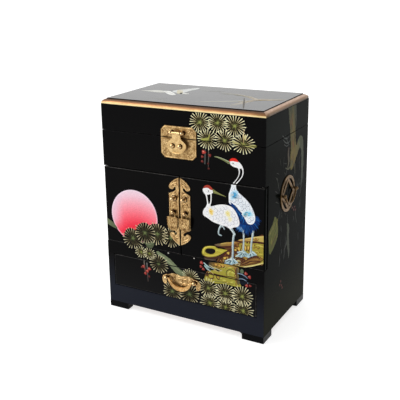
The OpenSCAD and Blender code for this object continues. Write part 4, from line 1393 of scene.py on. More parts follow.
# the sun
def sun_col(x, z):
    r = math.hypot((x + 68) / 74, (z - 104) / 66)
    edge = math.hypot(x + 73.5, z - 142) / 37.5
    stops = [(0, (218, 14, 40)), (0.2, (226, 26, 50)), (0.42, (242, 60, 80)), (0.62, (248, 110, 126)), (0.84, (247, 162, 176)), (1.02, (241, 200, 214)), (1.2, (237, 218, 230)), (1.5, (234, 222, 236))]
    c = stops[-1][1]
    for (a, ca), (b, cb) in zip(stops, stops[1:]):
        if r <= b:
            t = (r - a) / (b - a)
            c = tuple(p + (q - p) * t for p, q in zip(ca, cb))
            break
    side = min(1.0, max(0.0, (-73.5 - x) / 37.5 - 0.45) / 0.4) * min(1.0, max(0.0, (z - 118) / 16))
    c = tuple(p + (q - p) * side * 0.6 for p, q in zip(c, (234, 212, 230)))
    if edge > 0.93:
        t = min(1, (edge - 0.93) / 0.06) * 0.7
        c = tuple(p + (q - p) * t for p, q in zip(c, (243, 226, 238)))
    return c


front.disc(-73.5, 142, 37.5, sun_col, 0)

# grey-green branches behind the tufts
GRN, GRN2 = (112, 122, 92), (84, 92, 66)
front.stroke([(-122, 129, 8), (-112, 124.5, 7), (-104, 120, 3)], GRN, 1, GRN2, rough=0.25)
front.poly([(-58, 108), (-50, 110), (-43, 112.6), (-42.6, 107), (-45, 101.6), (-49, 99.6), (-54, 101)], GRN2, 3.2, rough=0.25)
front.stroke([(-56, 105, 0.8), (-50, 105, 1.4), (-44.6, 108, 0.8)], GRN, 3.4)
front.stroke([(-38, 96, 4), (-30, 91.5, 7), (-20, 86.5, 8), (-12, 80, 9), (-5, 74.5, 9), (4, 71, 8)], GRN, 1, GRN, rough=0.3)
front.stroke([(-36, 94, 1.2), (-24, 88, 1.6), (-12, 80.5, 1.6), (0, 73.5, 1)], (146, 154, 122), 2, (130, 138, 104))

# tufts round the sun and below it
cluster(front, -77, 109.4, 16.6, 22, 0.86, 1.0, low=True)
cluster(front, -36.6, 122.6, 16.6, 22, 0.88, 1.0, layer=5, low=True)
cluster(front, -56.8, 120.8, 16.4, 22, 0.86, 1.0, layer=7, low=True)
cluster(front, -15, 121, 15, 20, 0.88, 0.0, layer=4, low=True)
cluster(front, -64, 91.4, 10.4, 16, 0.88, 0.0, squash=0.8)
cluster(front, -50.6, 91.6, 10.4, 16, 0.88, 0.9, squash=0.8, layer=5)
cluster(front, -36, 79.5, 15, 20, 0.86, 1.0, layer=5, squash=0.86, low=True)
# tufts round the wide drawer's handle
cluster(front, 14, 69, 13.5, 12, 0.88, 0.0, a0=10, a1=170)
cluster(front, -15, 44, 14, 21, 0.84, low=True)
cluster(front, 12, 45.5, 14.8, 21, 0.84, 0.9, layer=5, low=True)

# log under the cranes
MAROON, BROWN, OCHRE, YEL, PALE = (62, 30, 26), (112, 72, 36), (176, 132, 58), (184, 172, 66), (214, 200, 116)
front.poly([(119.8, 146.5), (110, 143.6), (100, 140.2), (92, 137), (84, 134.4), (76, 131.4), (68, 129), (60, 126.6), (52, 124), (50, 122.4),
            (56, 121.4), (63, 121), (68, 119.6), (66, 115), (61, 109.8), (56, 104.5), (53.5, 101), (56, 99.4), (62, 99), (90, 99.2),
            (97, 101.2), (105, 104.2), (113, 107.2), (119.8, 110.4)], (96, 62, 34), 2, step=2.0, rough=0.25)
# the plank behind it: grey tip, ochre back, dark seam below
front.stroke([(51.4, 122.9, 1.2), (56, 123.6, 2.8), (62, 125, 3.4)], (96, 86, 72), 3, (132, 112, 70), rough=0.2)
front.stroke([(60, 124.6, 3.2), (66, 126.2, 4), (73, 128, 4.4), (80, 130.6, 3), (86, 133, 1.6)], (150, 122, 66), 3.1, (150, 104, 50), rough=0.2)
front.stroke([(60, 126, 0.8), (67, 128.2, 1.2), (75, 130, 1.1), (83, 133, 0.8)], (206, 176, 96), 3.3, (186, 140, 70))
front.stroke([(53, 121.3, 0.8), (62, 121.8, 1.8), (71, 123.4, 2.6), (80, 126.4, 2.2)], MAROON, 3.2, (84, 44, 30), rough=0.15)
# orange band along the top, with an eye in it
front.poly([(84, 134.8), (94, 137.4), (104, 141.2), (112, 143.9), (119.8, 146.2), (119.8, 138.4), (112, 138.4), (104, 137.4), (94, 134.9)], lambda x, z: (170, 132, 70) if x < 101 else (188, 166, 86), 3.3, rough=0.15)
front.stroke([(86, 135.6, 0.8), (98, 139.6, 1.3), (110, 143.6, 1.5), (119, 146, 1.2)], (218, 188, 120), 3.4, (212, 190, 110))
front.stroke([(105.4, 141.4, 0.6), (106.6, 139.5, 1), (110, 139.2, 1.1), (112.6, 140.8, 0.9), (112, 142.6, 0.5)], BROWN, 3.6)
front.blob(109, 141.2, 1.9, 1.2, (128, 76, 34), 3.55, (166, 108, 46))
front.stroke([(79, 132.6, 1), (88, 133.6, 1.9), (98, 134.8, 2.6), (108, 136.6, 2.8), (119.4, 137.2, 2.6)], MAROON, 3.5, (70, 34, 28), rough=0.2)
# yellow flank
front.poly([(88, 131.6), (98, 133.2), (108, 135.2), (119.8, 135.8), (119.8, 112), (114, 112.4), (108, 117), (102, 119), (98, 117.6), (94, 121), (90, 122.4), (86, 127)],
           (158, 146, 56), 3, rough=0.3)
for k in range(30):
    t = front.rnd.uniform(0, 1)
    x = 90 + 28 * t
    z = front.rnd.uniform(118 + 2 * (1 - t), 134)
    L = front.rnd.uniform(3, 8)
    front.stroke([(x, z, 0.4), (x + L / 2, z + 0.3, front.rnd.uniform(0.7, 1.5)), (min(119, x + L), z + 0.8, 0.4)],
                 front.rnd.choice([(196, 182, 74), (150, 136, 50), (206, 190, 96), (132, 104, 44), (180, 150, 60)]), 3.6)
front.stroke([(109.6, 131.4, 0.5), (110.4, 129.2, 1), (112.6, 128.6, 1.1), (114.2, 130.2, 0.8), (113.2, 131.6, 0.5)], (94, 54, 30), 3.8)
front.stroke([(90.6, 132, 0.6), (89, 128, 1.4), (89.4, 124, 0.8)], BROWN, 3.7)
front.stroke([(97.4, 130.6, 0.5), (96.4, 127, 1.2), (97.4, 123.6, 0.6)], BROWN, 3.7)
front.stroke([(100.2, 130, 0.5), (100.6, 127, 1.2), (99.6, 124.2, 0.6)], (140, 96, 44), 3.7)
# broken bark between the feet
for x, z, rx, rz, c1, c2 in ((69.5, 108.6, 2.6, 1.9, (186, 140, 66), (130, 82, 40)), (64.4, 105.6, 2.4, 1.7, (196, 160, 82), (136, 92, 44)), (60.6, 102.2, 2.2, 1.5, (188, 164, 88), (126, 96, 48)),
                             (71.4, 113.6, 2.2, 1.6, (170, 118, 54), (108, 66, 34)), (66.2, 112, 1.7, 2.4, (124, 66, 34), (96, 50, 28)), (70, 118, 2.6, 1.7, (150, 112, 58), (96, 62, 34)),
                             (82, 123.6, 2.4, 1.8, (206, 170, 76), (140, 96, 40)), (86.4, 121, 2.2, 1.6, (196, 158, 66), (130, 86, 38)), (83.6, 128.2, 2.6, 1.4, (160, 112, 52), (100, 62, 32)),
                             (94.2, 112.6, 2.8, 2, (204, 164, 62), (140, 98, 44)), (98.6, 114.4, 2, 1.5, (190, 148, 60), (126, 86, 40)), (84.6, 107, 2.4, 1.8, (196, 186, 118), (140, 116, 60)),
                             (88.6, 105.4, 1.8, 2.2, (150, 130, 92), (96, 62, 48)), (80.8, 112.6, 2.4, 1.7, (176, 168, 84), (128, 112, 52)), (76, 124.8, 2, 1.4, (140, 96, 50), (92, 54, 30))):
    front.blob(x, z, rx, rz, c1, 3.9, c2, front.rnd.uniform(-0.4, 0.4), 0.16)
for pts in ([(62, 107.6, 0.7), (66, 109.6, 1.3), (70, 111.4, 1.2), (73, 115.6, 0.7)], [(64, 113.6, 0.6), (68, 116, 1.5), (72, 119.8, 1.4), (78, 122, 0.9)], [(80, 125.6, 0.8), (85, 124.4, 1.2), (89, 120.4, 0.8)],
            [(78, 117, 0.6), (82, 119.6, 1.4), (88, 118.6, 0.8)], [(90, 108, 0.8), (92, 110.6, 1.2), (97, 111.6, 1)], [(86, 102, 0.8), (87.4, 105, 1.3), (90.6, 109, 1)], [(57.4, 101, 0.6), (60.4, 104.4, 1.2), (63, 103.2, 0.7)]):
    front.stroke(pts, MAROON, 4.1, (84, 44, 30), rough=0.1)
for k in range(70):
    x = 57 + 42 * front.rnd.random()
    top_, low_ = 104 + (x - 57) * 0.46, 100.4 + max(0, x - 86) * 0.25
    z = low_ + (top_ - low_) * front.rnd.random()
    rx, rz, ro_ = front.rnd.uniform(0.9, 2.1), front.rnd.uniform(0.7, 1.5), front.rnd.uniform(-0.6, 0.9)
    c1 = front.rnd.choice([(232, 212, 136), (212, 176, 88), (184, 128, 54), (150, 88, 44), (222, 196, 110), (116, 62, 44)])
    front.blob(x + 0.35, z - 0.4, rx * 1.2, rz * 1.25, (66, 32, 28), 3.9 + 0.002 * k, wob=0.15, n=10, rot=ro_)
    front.blob(x, z, rx, rz, c1, 3.901 + 0.002 * k, tuple(v * 0.72 for v in c1), ro_, 0.18, 10)
for k in range(30):
    x = 88 + 31 * front.rnd.random()
    z = 117 + 17.6 * front.rnd.random()
    a, q = front.rnd.uniform(0, 6.2), front.rnd.uniform(1.0, 1.9)
    arc = [(x + q * math.cos(a + t), z + q * 0.8 * math.sin(a + t)) for t in (0, 0.8, 1.6, 2.4)]
    front.stroke([(*arc[0], 0.35), (*arc[1], 0.85), (*arc[2], 0.85), (*arc[3], 0.35)], front.rnd.choice([(108, 64, 34), (92, 48, 32), (136, 96, 40)]), 4.12 + 0.004 * k)
    front.blob(x, z, q * 0.5, q * 0.36, front.rnd.choice([(226, 214, 124), (206, 184, 80), (190, 150, 60)]), 4.1 + 0.004 * k, (186, 168, 70), wob=0.2, n=9)
# long brown swelling along the lower right, with a cream under-edge
front.stroke([(89, 102, 2.6), (96, 106, 5), (104, 110, 6.4), (112, 114.4, 5.4), (118, 117, 3)], (122, 86, 44), 4, (140, 104, 50), rough=0.3)
front.stroke([(92, 103.4, 0.8), (100, 108, 2.2), (108, 112, 2.4), (115, 115.8, 1)], (160, 124, 60), 4.2, (150, 112, 54), rough=0.2)
front.stroke([(90, 105.4, 0.6), (97, 110.6, 1.2), (106, 115.2, 1.3), (114, 118.6, 0.8)], (88, 48, 30), 4.3, (104, 64, 34))
front.stroke([(108, 114.6, 0.5), (109.4, 116.4, 0.9), (112.6, 116.6, 0.9), (113.4, 114.6, 0.5)], (84, 48, 28), 4.4)
front.stroke([(96, 103.6, 0.6), (104, 107.4, 1), (112, 111, 0.7)], (92, 60, 34), 4.3)
front.stroke([(62, 99.9, 1), (76, 99.9, 1.4), (90, 100, 1.7), (100, 102.8, 1.9), (110, 106.6, 1.9), (119.4, 110.9, 1.6)], (150, 124, 66), 4.5, (206, 190, 104), rough=0.15)
front.stroke([(92, 100, 0.6), (102, 103, 0.9), (112, 107.1, 0.9), (119.4, 110.2, 0.7)], (226, 218, 160), 4.6, (222, 208, 130))
for pts in ([(56.2, 100.6, 1), (59.9, 106.4, 2.2), (64.3, 112.2, 2.4), (69.3, 117, 2.4), (75, 120.4, 1.6)], [(79.6, 123.2, 0.9), (83, 122.4, 1.5), (82.4, 118.6, 1.3), (80, 115.4, 0.8)],
            [(88.5, 104.2, 1.0), (94.1, 108.7, 1.7), (101.1, 114.4, 1.9), (108, 117.8, 1.8), (113, 118.4, 0.9)], [(87.8, 101.6, 0.8), (95.6, 105.5, 1.5), (101.8, 109.5, 1.5), (109.4, 111.6, 1.4), (116.2, 112.6, 1.3), (119.4, 116, 0.8)],
            [(110.7, 115.4, 0.7), (112.6, 117, 1.1), (114.8, 115.7, 1.0), (113, 114.3, 0.6)], [(61.3, 105.1, 0.6), (63.5, 108.6, 1.2), (66.4, 109.5, 1.2), (68.6, 112.7, 0.7)], [(70, 112.3, 0.6), (71.5, 110.5, 1.1), (73, 112.8, 1.1), (74, 116.2, 0.7)]):
    front.stroke(pts, (60, 30, 26), 4.45, (74, 40, 30), rough=0.12)
for x, z, rx, rz, ro_ in ((85.6, 123.4, 1.5, 3.2, 0.2), (94.6, 126.6, 1.3, 3.6, 0.15), (98.8, 127.4, 1.2, 3, -0.1), (80.8, 121.2, 1.8, 1.5, 0.3), (95.2, 112.2, 2.6, 1.7, 0.4), (70.4, 115, 2.0, 1.9, 0.5), (65.4, 107.2, 2.2, 1.7, 0.4)):
    front.blob(x + 0.4, z - 0.5, rx * 1.25, rz * 1.2, (74, 38, 28), 4.46, wob=0.12, rot=ro_)
    front.blob(x, z, rx, rz, (226, 196, 96), 4.5, (184, 144, 62), ro_, 0.15)
# hollow knot at the log's end
front.poly([(51.4, 120.6), (46, 120.2), (40, 119), (35.4, 116.6), (32.6, 113), (31.9, 109), (33.4, 105.3), (40, 104.3), (47, 105.6), (54, 108), (60, 111.6),
            (65, 115.4), (68.8, 118.6), (62, 118.8), (55, 118.7)], (178, 164, 60), 5, rough=0.15)
for k in range(16):
    t = k / 15
    x, z = 49 + 16 * t, 113.6 + 3.6 * t + front.rnd.uniform(-1.8, 1.8) * (1 - t)
    front.stroke([(x, z, 0.3), (x + 1.6, z + 0.4, 0.9), (x + 3, z + 0.7, 0.3)], front.rnd.choice([(202, 190, 82), (156, 142, 48), (186, 186, 70)]), 5.4)
front.poly([(51, 116.4), (47, 117), (42, 116.4), (38.6, 115), (36.6, 112.4), (37.4, 109.8), (41.6, 108.5), (46.4, 108.8), (50, 110.8), (51.8, 113.6)], (30, 14, 12), 7, rough=0.1)
front.poly([(50, 115.6), (45, 115.9), (40.6, 114.6), (38.6, 112.6), (39.6, 110.6), (44, 109.9), (48.4, 111), (50.4, 113.4)], (10, 7, 7), 7.3, rough=0.1)
front.stroke([(50.6, 119.8, 0.7), (43, 118.9, 1.2), (37, 116.2, 1.3), (34.2, 112, 1.2), (34.6, 107.6, 0.8)], (216, 200, 92), 6)
front.stroke([(36, 105.4, 0.9), (43, 105.9, 1.2), (51, 108.6, 1), (58, 112, 0.6)], (206, 188, 84), 6)
front.stroke([(53, 116.6, 0.8), (58, 115.4, 1.5), (65, 117.4, 0.8)], (196, 190, 80), 6)
front.stroke([(33, 107, 0.6), (38, 104.1, 0.9), (46, 104.9, 0.9), (54, 107.6, 0.6)], (116, 92, 38), 5.5)
# shaded side and lower plank under the knot
front.poly([(36, 103.2), (44, 103.6), (52, 106), (58, 110), (62, 112.6), (64, 115), (58, 111.8), (50, 108), (42, 104.6), (36, 104)], (58, 36, 36), 3, rough=0.15)
front.stroke([(35, 102.6, 1.4), (44, 102.8, 2.6), (52, 104.6, 3), (60, 109, 2.4), (66, 114.6, 1.6)], (56, 36, 34), 2.6, (70, 40, 30), rough=0.2)
front.stroke([(36, 100.6, 1), (44, 100.6, 2), (52, 102, 2)], (92, 80, 70), 3, (72, 56, 48), rough=0.2)

# webbed feet
WEB, WEBD, WEBL = (150, 180, 188), (74, 98, 106), (212, 228, 226)


def foot(ax, az, web, toes, layer):
    front.poly(web, WEB, layer, rough=0.12, step=0.9)
    for tx, tz in toes:
        front.stroke([(ax, az, 1.5), ((ax + tx) / 2, (az + tz) / 2 + 0.3, 1.1), (tx, tz, 0.5)], WEBL, layer + 0.5, (198, 216, 214))
    for (ax_, az_), (bx_, bz_) in zip(toes, toes[1:]):
        mx, mz = (ax_ + bx_) / 2, (az_ + bz_) / 2
        front.stroke([((ax * 2 + mx) / 3, (az * 2 + mz) / 3, 0.4), ((ax + mx * 2) / 3, (az + mz * 2) / 3, 0.9), (mx * 0.9 + ax * 0.1, mz * 0.9 + az * 0.1, 0.4)], WEBD, layer + 0.4)


foot(91.8, 121, [(90.6, 122.4), (87.4, 120.2), (82.6, 119), (84, 117.4), (85.4, 116.4), (82.8, 114.2), (80.2, 112), (85, 112.6), (89.2, 112.4), (92, 114.2), (95, 114.6), (99, 113.8), (101.4, 116.6), (99.4, 119), (95.6, 120.8), (93.6, 122.6)],
     [(82.8, 118.6), (80.6, 112.2), (89.2, 112.6), (99, 114.2)], 6.4)
foot(102.8, 123.2, [(101.6, 124.2), (101, 121.6), (98.8, 118.6), (99.2, 114.6), (102.4, 116), (106, 118), (110.8, 119.8), (108.8, 121.4), (107.6, 123), (105.2, 124)],
     [(99.2, 115), (104.2, 116.6), (110.6, 119.9)], 6.5)
foot(76.4, 109, [(75.2, 110.6), (73.4, 107.8), (69.8, 105.8), (65.2, 103.2), (67.8, 102.2), (64.4, 100.2), (67.4, 99.6), (71.4, 99.6), (75, 99.4), (77.6, 101.4), (81, 102.4), (84.6, 104.6), (82.6, 106), (79.4, 107), (77.8, 110.4)],
     [(65.4, 103), (67.6, 99.9), (74.4, 99.8), (84.2, 104.8)], 6.6)
DEEP = (44, 66, 76)
for a_, b_, w_ in (((91, 119.4), (84.8, 117.3), 1.0), ((91.4, 118.4), (86.6, 114.8), 1.0), ((92.4, 118.4), (90.6, 114.2), 0.8), ((93.4, 119.2), (96.8, 116.6), 1.1),
                   ((102.8, 120.8), (100.4, 117), 1.0), ((104.4, 121.2), (106.4, 119.2), 0.9), ((74, 105.6), (67.6, 102.3), 1.1), ((75.4, 105.2), (71.6, 100.6), 1.0), ((77.4, 105.4), (80.4, 103), 1.1)):
    front.stroke([(*a_, w_ * 0.5), ((a_[0] + b_[0]) / 2, (a_[1] + b_[1]) / 2 + 0.2, w_), (*b_, w_ * 0.6)], DEEP, 7.3, (70, 92, 96))
for pts in ([(78.6, 103.6, 0.7), (82, 106.2, 1.4), (86, 107.8, 1.2), (88.2, 106, 0.6)], [(80, 101.2, 0.6), (83.4, 103, 1.3), (86.6, 103.4, 0.7)], [(84.4, 100.4, 0.5), (86.6, 102.2, 1.1), (87.4, 104.4, 0.6)]):
    front.stroke(pts, (204, 202, 158), 6.2, (180, 164, 116))
for pts in ([(63.4, 99.8, 0.8), (64.2, 101.6, 1.2), (66, 103.8, 0.7)], [(79.2, 110.6, 0.7), (80.8, 111, 1.2), (83.4, 111.2, 0.6)], [(86.4, 111.2, 0.7), (92, 111.2, 1.5), (97.4, 112.6, 0.8)], [(102, 114.4, 0.6), (106, 116, 1.3), (110.6, 118.6, 0.8)]):
    front.stroke(pts, (58, 34, 30), 6.1, (76, 46, 34))

# the log below the doors
front.poly([(36, 70), (36, 76), (38.5, 82), (42, 86.5), (41, 91), (44, 95), (52, 97.3), (66, 98.4), (83, 98), (86, 94), (84.6, 88), (86.4, 82), (87, 76), (89, 72.6),
            (80, 71), (66, 71.4), (52, 69.5), (44, 69.6)], (160, 152, 58), 2, rough=0.25)
front.poly([(42, 97), (42.6, 92.6), (47, 90.6), (52, 92.4), (57, 91.6), (60, 94.4), (58, 98.2), (50, 98)], lambda x, z: tuple(a + (b - a) * min(1, max(0, (x - 43) / 12)) for a, b in zip((52, 44, 36), (176, 138, 66))), 2.4, rough=0.2)
front.poly([(57, 98.3), (58, 95.4), (66, 94.6), (76, 95), (82, 93), (84, 98)], lambda x, z: tuple(a + (b - a) * min(1, max(0, (x - 62) / 20)) for a, b in zip((198, 168, 72), (148, 118, 62))), 2.4, rough=0.2)
for k in range(40):
    x, z = front.rnd.uniform(50, 80), front.rnd.uniform(72.4, 96)
    if math.hypot(x - 44, z - 79) < 7:
        continue
    L = front.rnd.uniform(3, 8)
    front.stroke([(x - L / 2, z - 0.4, 0.4), (x, z, front.rnd.uniform(0.7, 1.7)), (min(86, x + L / 2), z + 0.3, 0.4)],
                 front.rnd.choice([(184, 180, 76), (146, 138, 48), (200, 194, 96), (168, 150, 60), (154, 158, 66)]), 2.8)
front.stroke([(40, 82.6, 1.2), (47, 82.2, 1.6), (55, 81.6, 1.8), (64, 82, 1.3), (74, 82.8, 1.2), (83, 82.2, 1)], MAROON, 3.6, (84, 50, 32), rough=0.1)
for pts in ([(44, 91.6, 0.8), (50, 89.4, 1.4), (55, 91.4, 1.4), (60, 90, 0.7)], [(49, 97, 0.7), (50.6, 93.6, 1.2), (54, 92.6, 0.8)], [(57, 97.6, 0.8), (58, 94, 1.3), (62, 92.8, 0.7)],
            [(36.8, 76, 0.8), (38.8, 82, 1.4), (42.4, 86, 1)], [(79.8, 96, 1), (81, 90, 1.8), (80, 85, 1), (81.6, 78, 1.4), (81, 73, 0.8)]):
    front.stroke(pts, (104, 62, 36), 3.4, (124, 84, 44), rough=0.1)
front.stroke([(83, 97, 1.6), (83.6, 90, 2.4), (83.4, 84, 2.2), (85, 77, 2)], (142, 130, 84), 3.2, (120, 112, 64), rough=0.2)
for k in range(34):
    x, z = front.rnd.uniform(41, 84), front.rnd.uniform(73, 97)
    if math.hypot(x - 44.6, z - 78.8) < 6 or math.hypot(x - 74, z - 87) < 6:
        continue
    a, q = front.rnd.uniform(0, 6.2), front.rnd.uniform(0.9, 1.8)
    arc = [(x + q * math.cos(a + t), z + q * 0.8 * math.sin(a + t)) for t in (0, 0.8, 1.6, 2.4)]
    front.stroke([(*arc[0], 0.3), (*arc[1], 0.75), (*arc[2], 0.75), (*arc[3], 0.3)], front.rnd.choice([(112, 74, 36), (96, 56, 34), (130, 104, 44)]), 3.2 + 0.004 * k)
    front.blob(x, z, q * 0.5, q * 0.36, front.rnd.choice([(222, 214, 136), (200, 190, 90), (214, 166, 84)]), 3.19 + 0.004 * k, (178, 168, 72), wob=0.2, n=9)
# ring knots
front.poly([(36.4, 78), (38.4, 82), (41.6, 86.6), (41, 91), (43.4, 94.6), (45.6, 90), (44.6, 85.6), (42, 81.6), (39.4, 77)], (64, 50, 36), 3.3, rough=0.2)
for x, z, rx, rz in ((52.6, 95.4, 2.4, 1.6), (57.6, 94.8, 2.2, 1.7), (62.6, 95.6, 2, 1.4)):
    front.blob(x + 0.6, z - 0.4, rx * 1.25, rz * 1.3, (72, 38, 28), 3.35, wob=0.15)
    front.blob(x, z, rx, rz, (220, 174, 84), 3.4, (178, 132, 60), wob=0.15)
front.poly([(83.2, 98), (86, 94), (84.6, 88), (86.4, 82), (87, 76), (84.6, 74), (83, 80), (82.4, 88), (82, 94)], (98, 88, 62), 3.3, rough=0.2)
front.stroke([(82.2, 97, 0.9), (81.8, 90, 1.3), (82.4, 82, 1.1), (83.6, 74.6, 0.8)], (84, 52, 34), 3.6, (96, 66, 40), rough=0.12)
front.blob(44.6, 78.8, 5.2, 5, (92, 56, 32), 4, (84, 48, 32))
front.blob(44.8, 78.2, 3.6, 3.2, (186, 176, 70), 4.4, (150, 136, 52))
front.stroke([(40.4, 80.4, 0.7), (42.4, 83.4, 1.1), (46.4, 83.6, 1.1), (49, 81, 0.8)], (190, 170, 92), 4.6)
front.stroke([(53, 81, 0.8), (53.4, 77.2, 1.4), (56, 75.6, 1.3), (58, 77.8, 1.1), (57.6, 81, 0.8)], MAROON, 4.2)
front.blob(55.6, 78.6, 1.5, 1.8, (160, 130, 56), 4.1)
front.stroke([(68.6, 82.6, 0.6), (67.4, 87.4, 1.1), (70, 91.6, 1.3), (75.6, 92.6, 1.2), (80, 89.6, 0.9)], (96, 84, 44), 4.2)
front.stroke([(70.6, 84, 0.5), (70, 87.6, 0.9), (72.6, 90, 0.8)], (206, 200, 110), 4.3)
front.stroke([(48, 71.6, 0.8), (56, 72.6, 1.6), (66, 73.2, 1.6), (78, 73, 0.9)], (130, 128, 60), 3.2)
front.stroke([(44, 86.6, 0.7), (50, 87.2, 1.8), (56, 86.4, 1.4), (60, 87.6, 0.6)], (176, 160, 96), 3.3)
# a dark navy bush at its right
front.poly([(86, 84), (88, 88.6), (92, 88), (96.6, 85.4), (98.4, 81.6), (96, 77.4), (91, 75.6), (87, 76.4)], (10, 18, 30), 2.2, rough=0.25)
front.poly([(87.4, 92), (88.2, 96.2), (91, 96.6), (92.4, 93), (90.4, 90.8)], (92, 108, 84), 2.3, rough=0.2)

# pale stems with berries on both sides of it
ICE = (176, 206, 206)
front.poly([(38.4, 92.4), (42.1, 91.2), (46.6, 89.9), (50, 88.4), (47, 86.4), (42.1, 86.6), (38.8, 88.6)], (10, 14, 13), 5.6, rough=0.12)
front.poly([(51.6, 89.8), (55.4, 90.4), (58.6, 88.7), (56.6, 86.8), (52.8, 87.6)], (16, 16, 14), 5.6, rough=0.12)
for pts, c_ in (([(34.6, 94.8, 1.2), (37.7, 92.3, 1.7), (42.1, 90.5, 1.1), (46.6, 89.3, 0.9), (50, 88.6, 0.6)], ICE), ([(35.2, 91, 1), (38.4, 87.9, 1.8), (42.1, 85.9, 1.6), (44.4, 84.9, 0.8)], ICE), ([(36.4, 92.8, 0.8), (39.4, 89.8, 1.2), (42.6, 88.6, 0.8)], ICE),
                ([(42.6, 93, 0.8), (48.8, 90.6, 1.1), (53.2, 90.2, 1.1), (58.3, 89, 1.1), (61.6, 88.9, 0.7)], (208, 200, 156))):
    front.stroke(pts, c_, 6, tuple(v * 0.86 for v in c_))
for pts in ([(84, 89.8, 0.7), (90, 89.6, 1), (95, 87.6, 0.9), (98, 85.6, 0.6)], [(86, 82.6, 0.6), (91, 83.4, 0.9), (95.5, 82, 0.9), (98.6, 78.6, 0.6)]):
    front.stroke(pts, (150, 172, 196), 6, (120, 140, 160))
for x, z, r, d in ((31, 94, 2.6, 0.86), (30, 88.6, 2.2, 0.72), (33.6, 85.6, 2.1, 0.8), (95.6, 91.6, 2.4, 0.82), (100.6, 88, 2.4, 0.8), (96.8, 75.6, 2.3, 0.82), (101.6, 76.2, 1.8, 0.7)):
    berry(front, x, z, r, d)

# tufts over the foot of the log
for j, (x, z, r, k) in enumerate(((43, 40, 14, 0.86), (66.5, 39.5, 13.8, 0.86), (92, 40, 15, 0.88), (41, 60.5, 14.4, 0.88), (66, 58.5, 14.8, 0.9), (90.5, 59.5, 14.8, 0.92))):
    cluster(front, x, z, r, 21, k, 0.8, layer=5 + 0.3 * j)

# tufts of the top branch, across the lid's seam
for j, (x, z, r, k) in enumerate(((41, 263, 14, 0.98), (65.5, 264, 14.5, 0.98), (91.2, 261.6, 15.6, 1.0), (31, 284.5, 14.5, 0.98), (56, 286, 14, 0.98), (79.5, 284, 15, 1.0))):
    big = x > 85 and z < 270
    cluster(front, x, z, r, 20 if big else 22, k, 0.84, layer=4 + 0.3 * j, squash=0.84 if big else 0.95)
front.poly([(76.6, 264.6), (80, 264), (90, 260.6), (90.4, 259.8), (82, 260.6), (77, 262)], (176, 168, 108), 6.5, rough=0.1)
front.poly([(92, 260.4), (100, 261.4), (107.4, 262.2), (108.6, 259.8), (101, 258.8), (93, 259.4)], (170, 166, 92), 6.5, rough=0.1)
front.stroke([(94, 260, 0.5), (101, 260.3, 0.9), (107.6, 261, 0.7)], (226, 216, 160), 6.7)
front.stroke([(91.5, 261, 0.8), (91.5, 270, 1.0), (91.8, 280, 0.6)], (146, 118, 76), 6.5, (214, 190, 140))
front.poly([(92, 270), (93.6, 274.6), (95.4, 272), (94, 267)], (206, 196, 142), 6.4, rough=0.1)
front.stroke([(32.6, 262, 1.6), (38, 262.6, 3), (43, 264.4, 2.2), (44.6, 270, 0.7)], (164, 168, 84), 6.5, (160, 156, 78))
# hanging stems and berries
front.stroke([(38.4, 250, 1.2), (38, 240, 2.4), (37.6, 230, 2)], (70, 72, 68), 3, (64, 66, 64))
front.stroke([(43, 250, 0.9), (43, 238, 1.2), (42.4, 226, 0.8)], (92, 88, 82), 3, (70, 66, 62))
for x, z, r, d in ((36.2, 245.6, 2.9, 0.95), (34, 239.2, 2, 0.66), (33.8, 233, 1.8, 0.6), (44.6, 242.2, 2.4, 0.62), (42.4, 231, 1.6, 0.42), (43, 224.4, 1.6, 0.42)):
    berry(front, x, z, r, d)
front.stroke([(-60, 82, 1.2), (-59.6, 74, 1.8), (-58.4, 62, 1)], (96, 98, 92), 3, (110, 78, 72))
front.stroke([(-55.4, 77, 1.4), (-55, 66, 1), (-54.4, 50, 0.7)], (128, 128, 126), 3, (84, 66, 62))
for x, z, r, d in ((-61, 71, 2.4, 0.84), (-51.6, 69, 2.5, 0.9), (-55, 65.4, 2.4, 0.9), (-58.4, 61.4, 2.2, 0.84), (-52.4, 58, 1.8, 0.5), (-64, 69.4, 1.6, 0.6)):
    berry(front, x, z, r, d)

# ---- cranes
WHITE, SHADE, NAVY, NAVY2 = (238, 238, 238), (206, 208, 214), (10, 62, 128), (26, 96, 172)


def inside(p, poly):
    x, z = p
    k = False
    for (x0, z0), (x1, z1) in zip(poly, poly[1:] + poly[:1]):
        if (z0 > z) != (z1 > z) and x < (x1 - x0) * (z - z0) / (z1 - z0) + x0:
            k = not k
    return k


def scales(c, outline, heading, layer, cell=5.2, col=(150, 153, 168), width=0.44):
    """Feather scales inside an outline: overlapping rounded cells, pointing along the heading."""
    co, si = math.cos(heading), math.sin(heading)
    cx = sum(p[0] for p in outline) / len(outline)
    cz = sum(p[1] for p in outline) / len(outline)
    g = c.rnd
    for i in range(-14, 15):
        for j in range(-14, 15):
            u, v = i * cell * 0.84 + g.uniform(-0.3, 0.3), (j + 0.5 * (i % 2)) * cell + g.uniform(-0.3, 0.3)
            x, z = cx + u * co - v * si, cz + u * si + v * co
            if not all(inside((x + 2.5 * math.cos(t), z + 2.5 * math.sin(t)), outline) for t in (0, 0.785, 1.57, 2.36, 3.14, 3.93, 4.71, 5.5)):
                continue
            k = g.uniform(0.92, 1.08)
            pts = []
            ra, rb = cell * 0.5 * g.uniform(0.92, 1.06), cell * 0.5 * g.uniform(0.9, 1.02)
            for q in range(9):
                a = -1.9 + 3.8 * q / 8
                m, n = ra * math.cos(a), rb * math.sin(a)
                pts.append((x + m * co - n * si, z + m * si + n * co, width * (0.55 + 0.6 * max(0, math.cos(a)))))
            c.stroke(pts, tuple(v_ * k for v_ in col), layer, tuple(v_ * k for v_ in col), step=1.4)
            c.stroke([(x - 0.3 * cell * co, z - 0.3 * cell * si, 0.2), (x + 0.2 * cell * co, z + 0.2 * cell * si, 0.5)], tuple(min(255, v_ * 1.3) for v_ in col), layer, step=2)


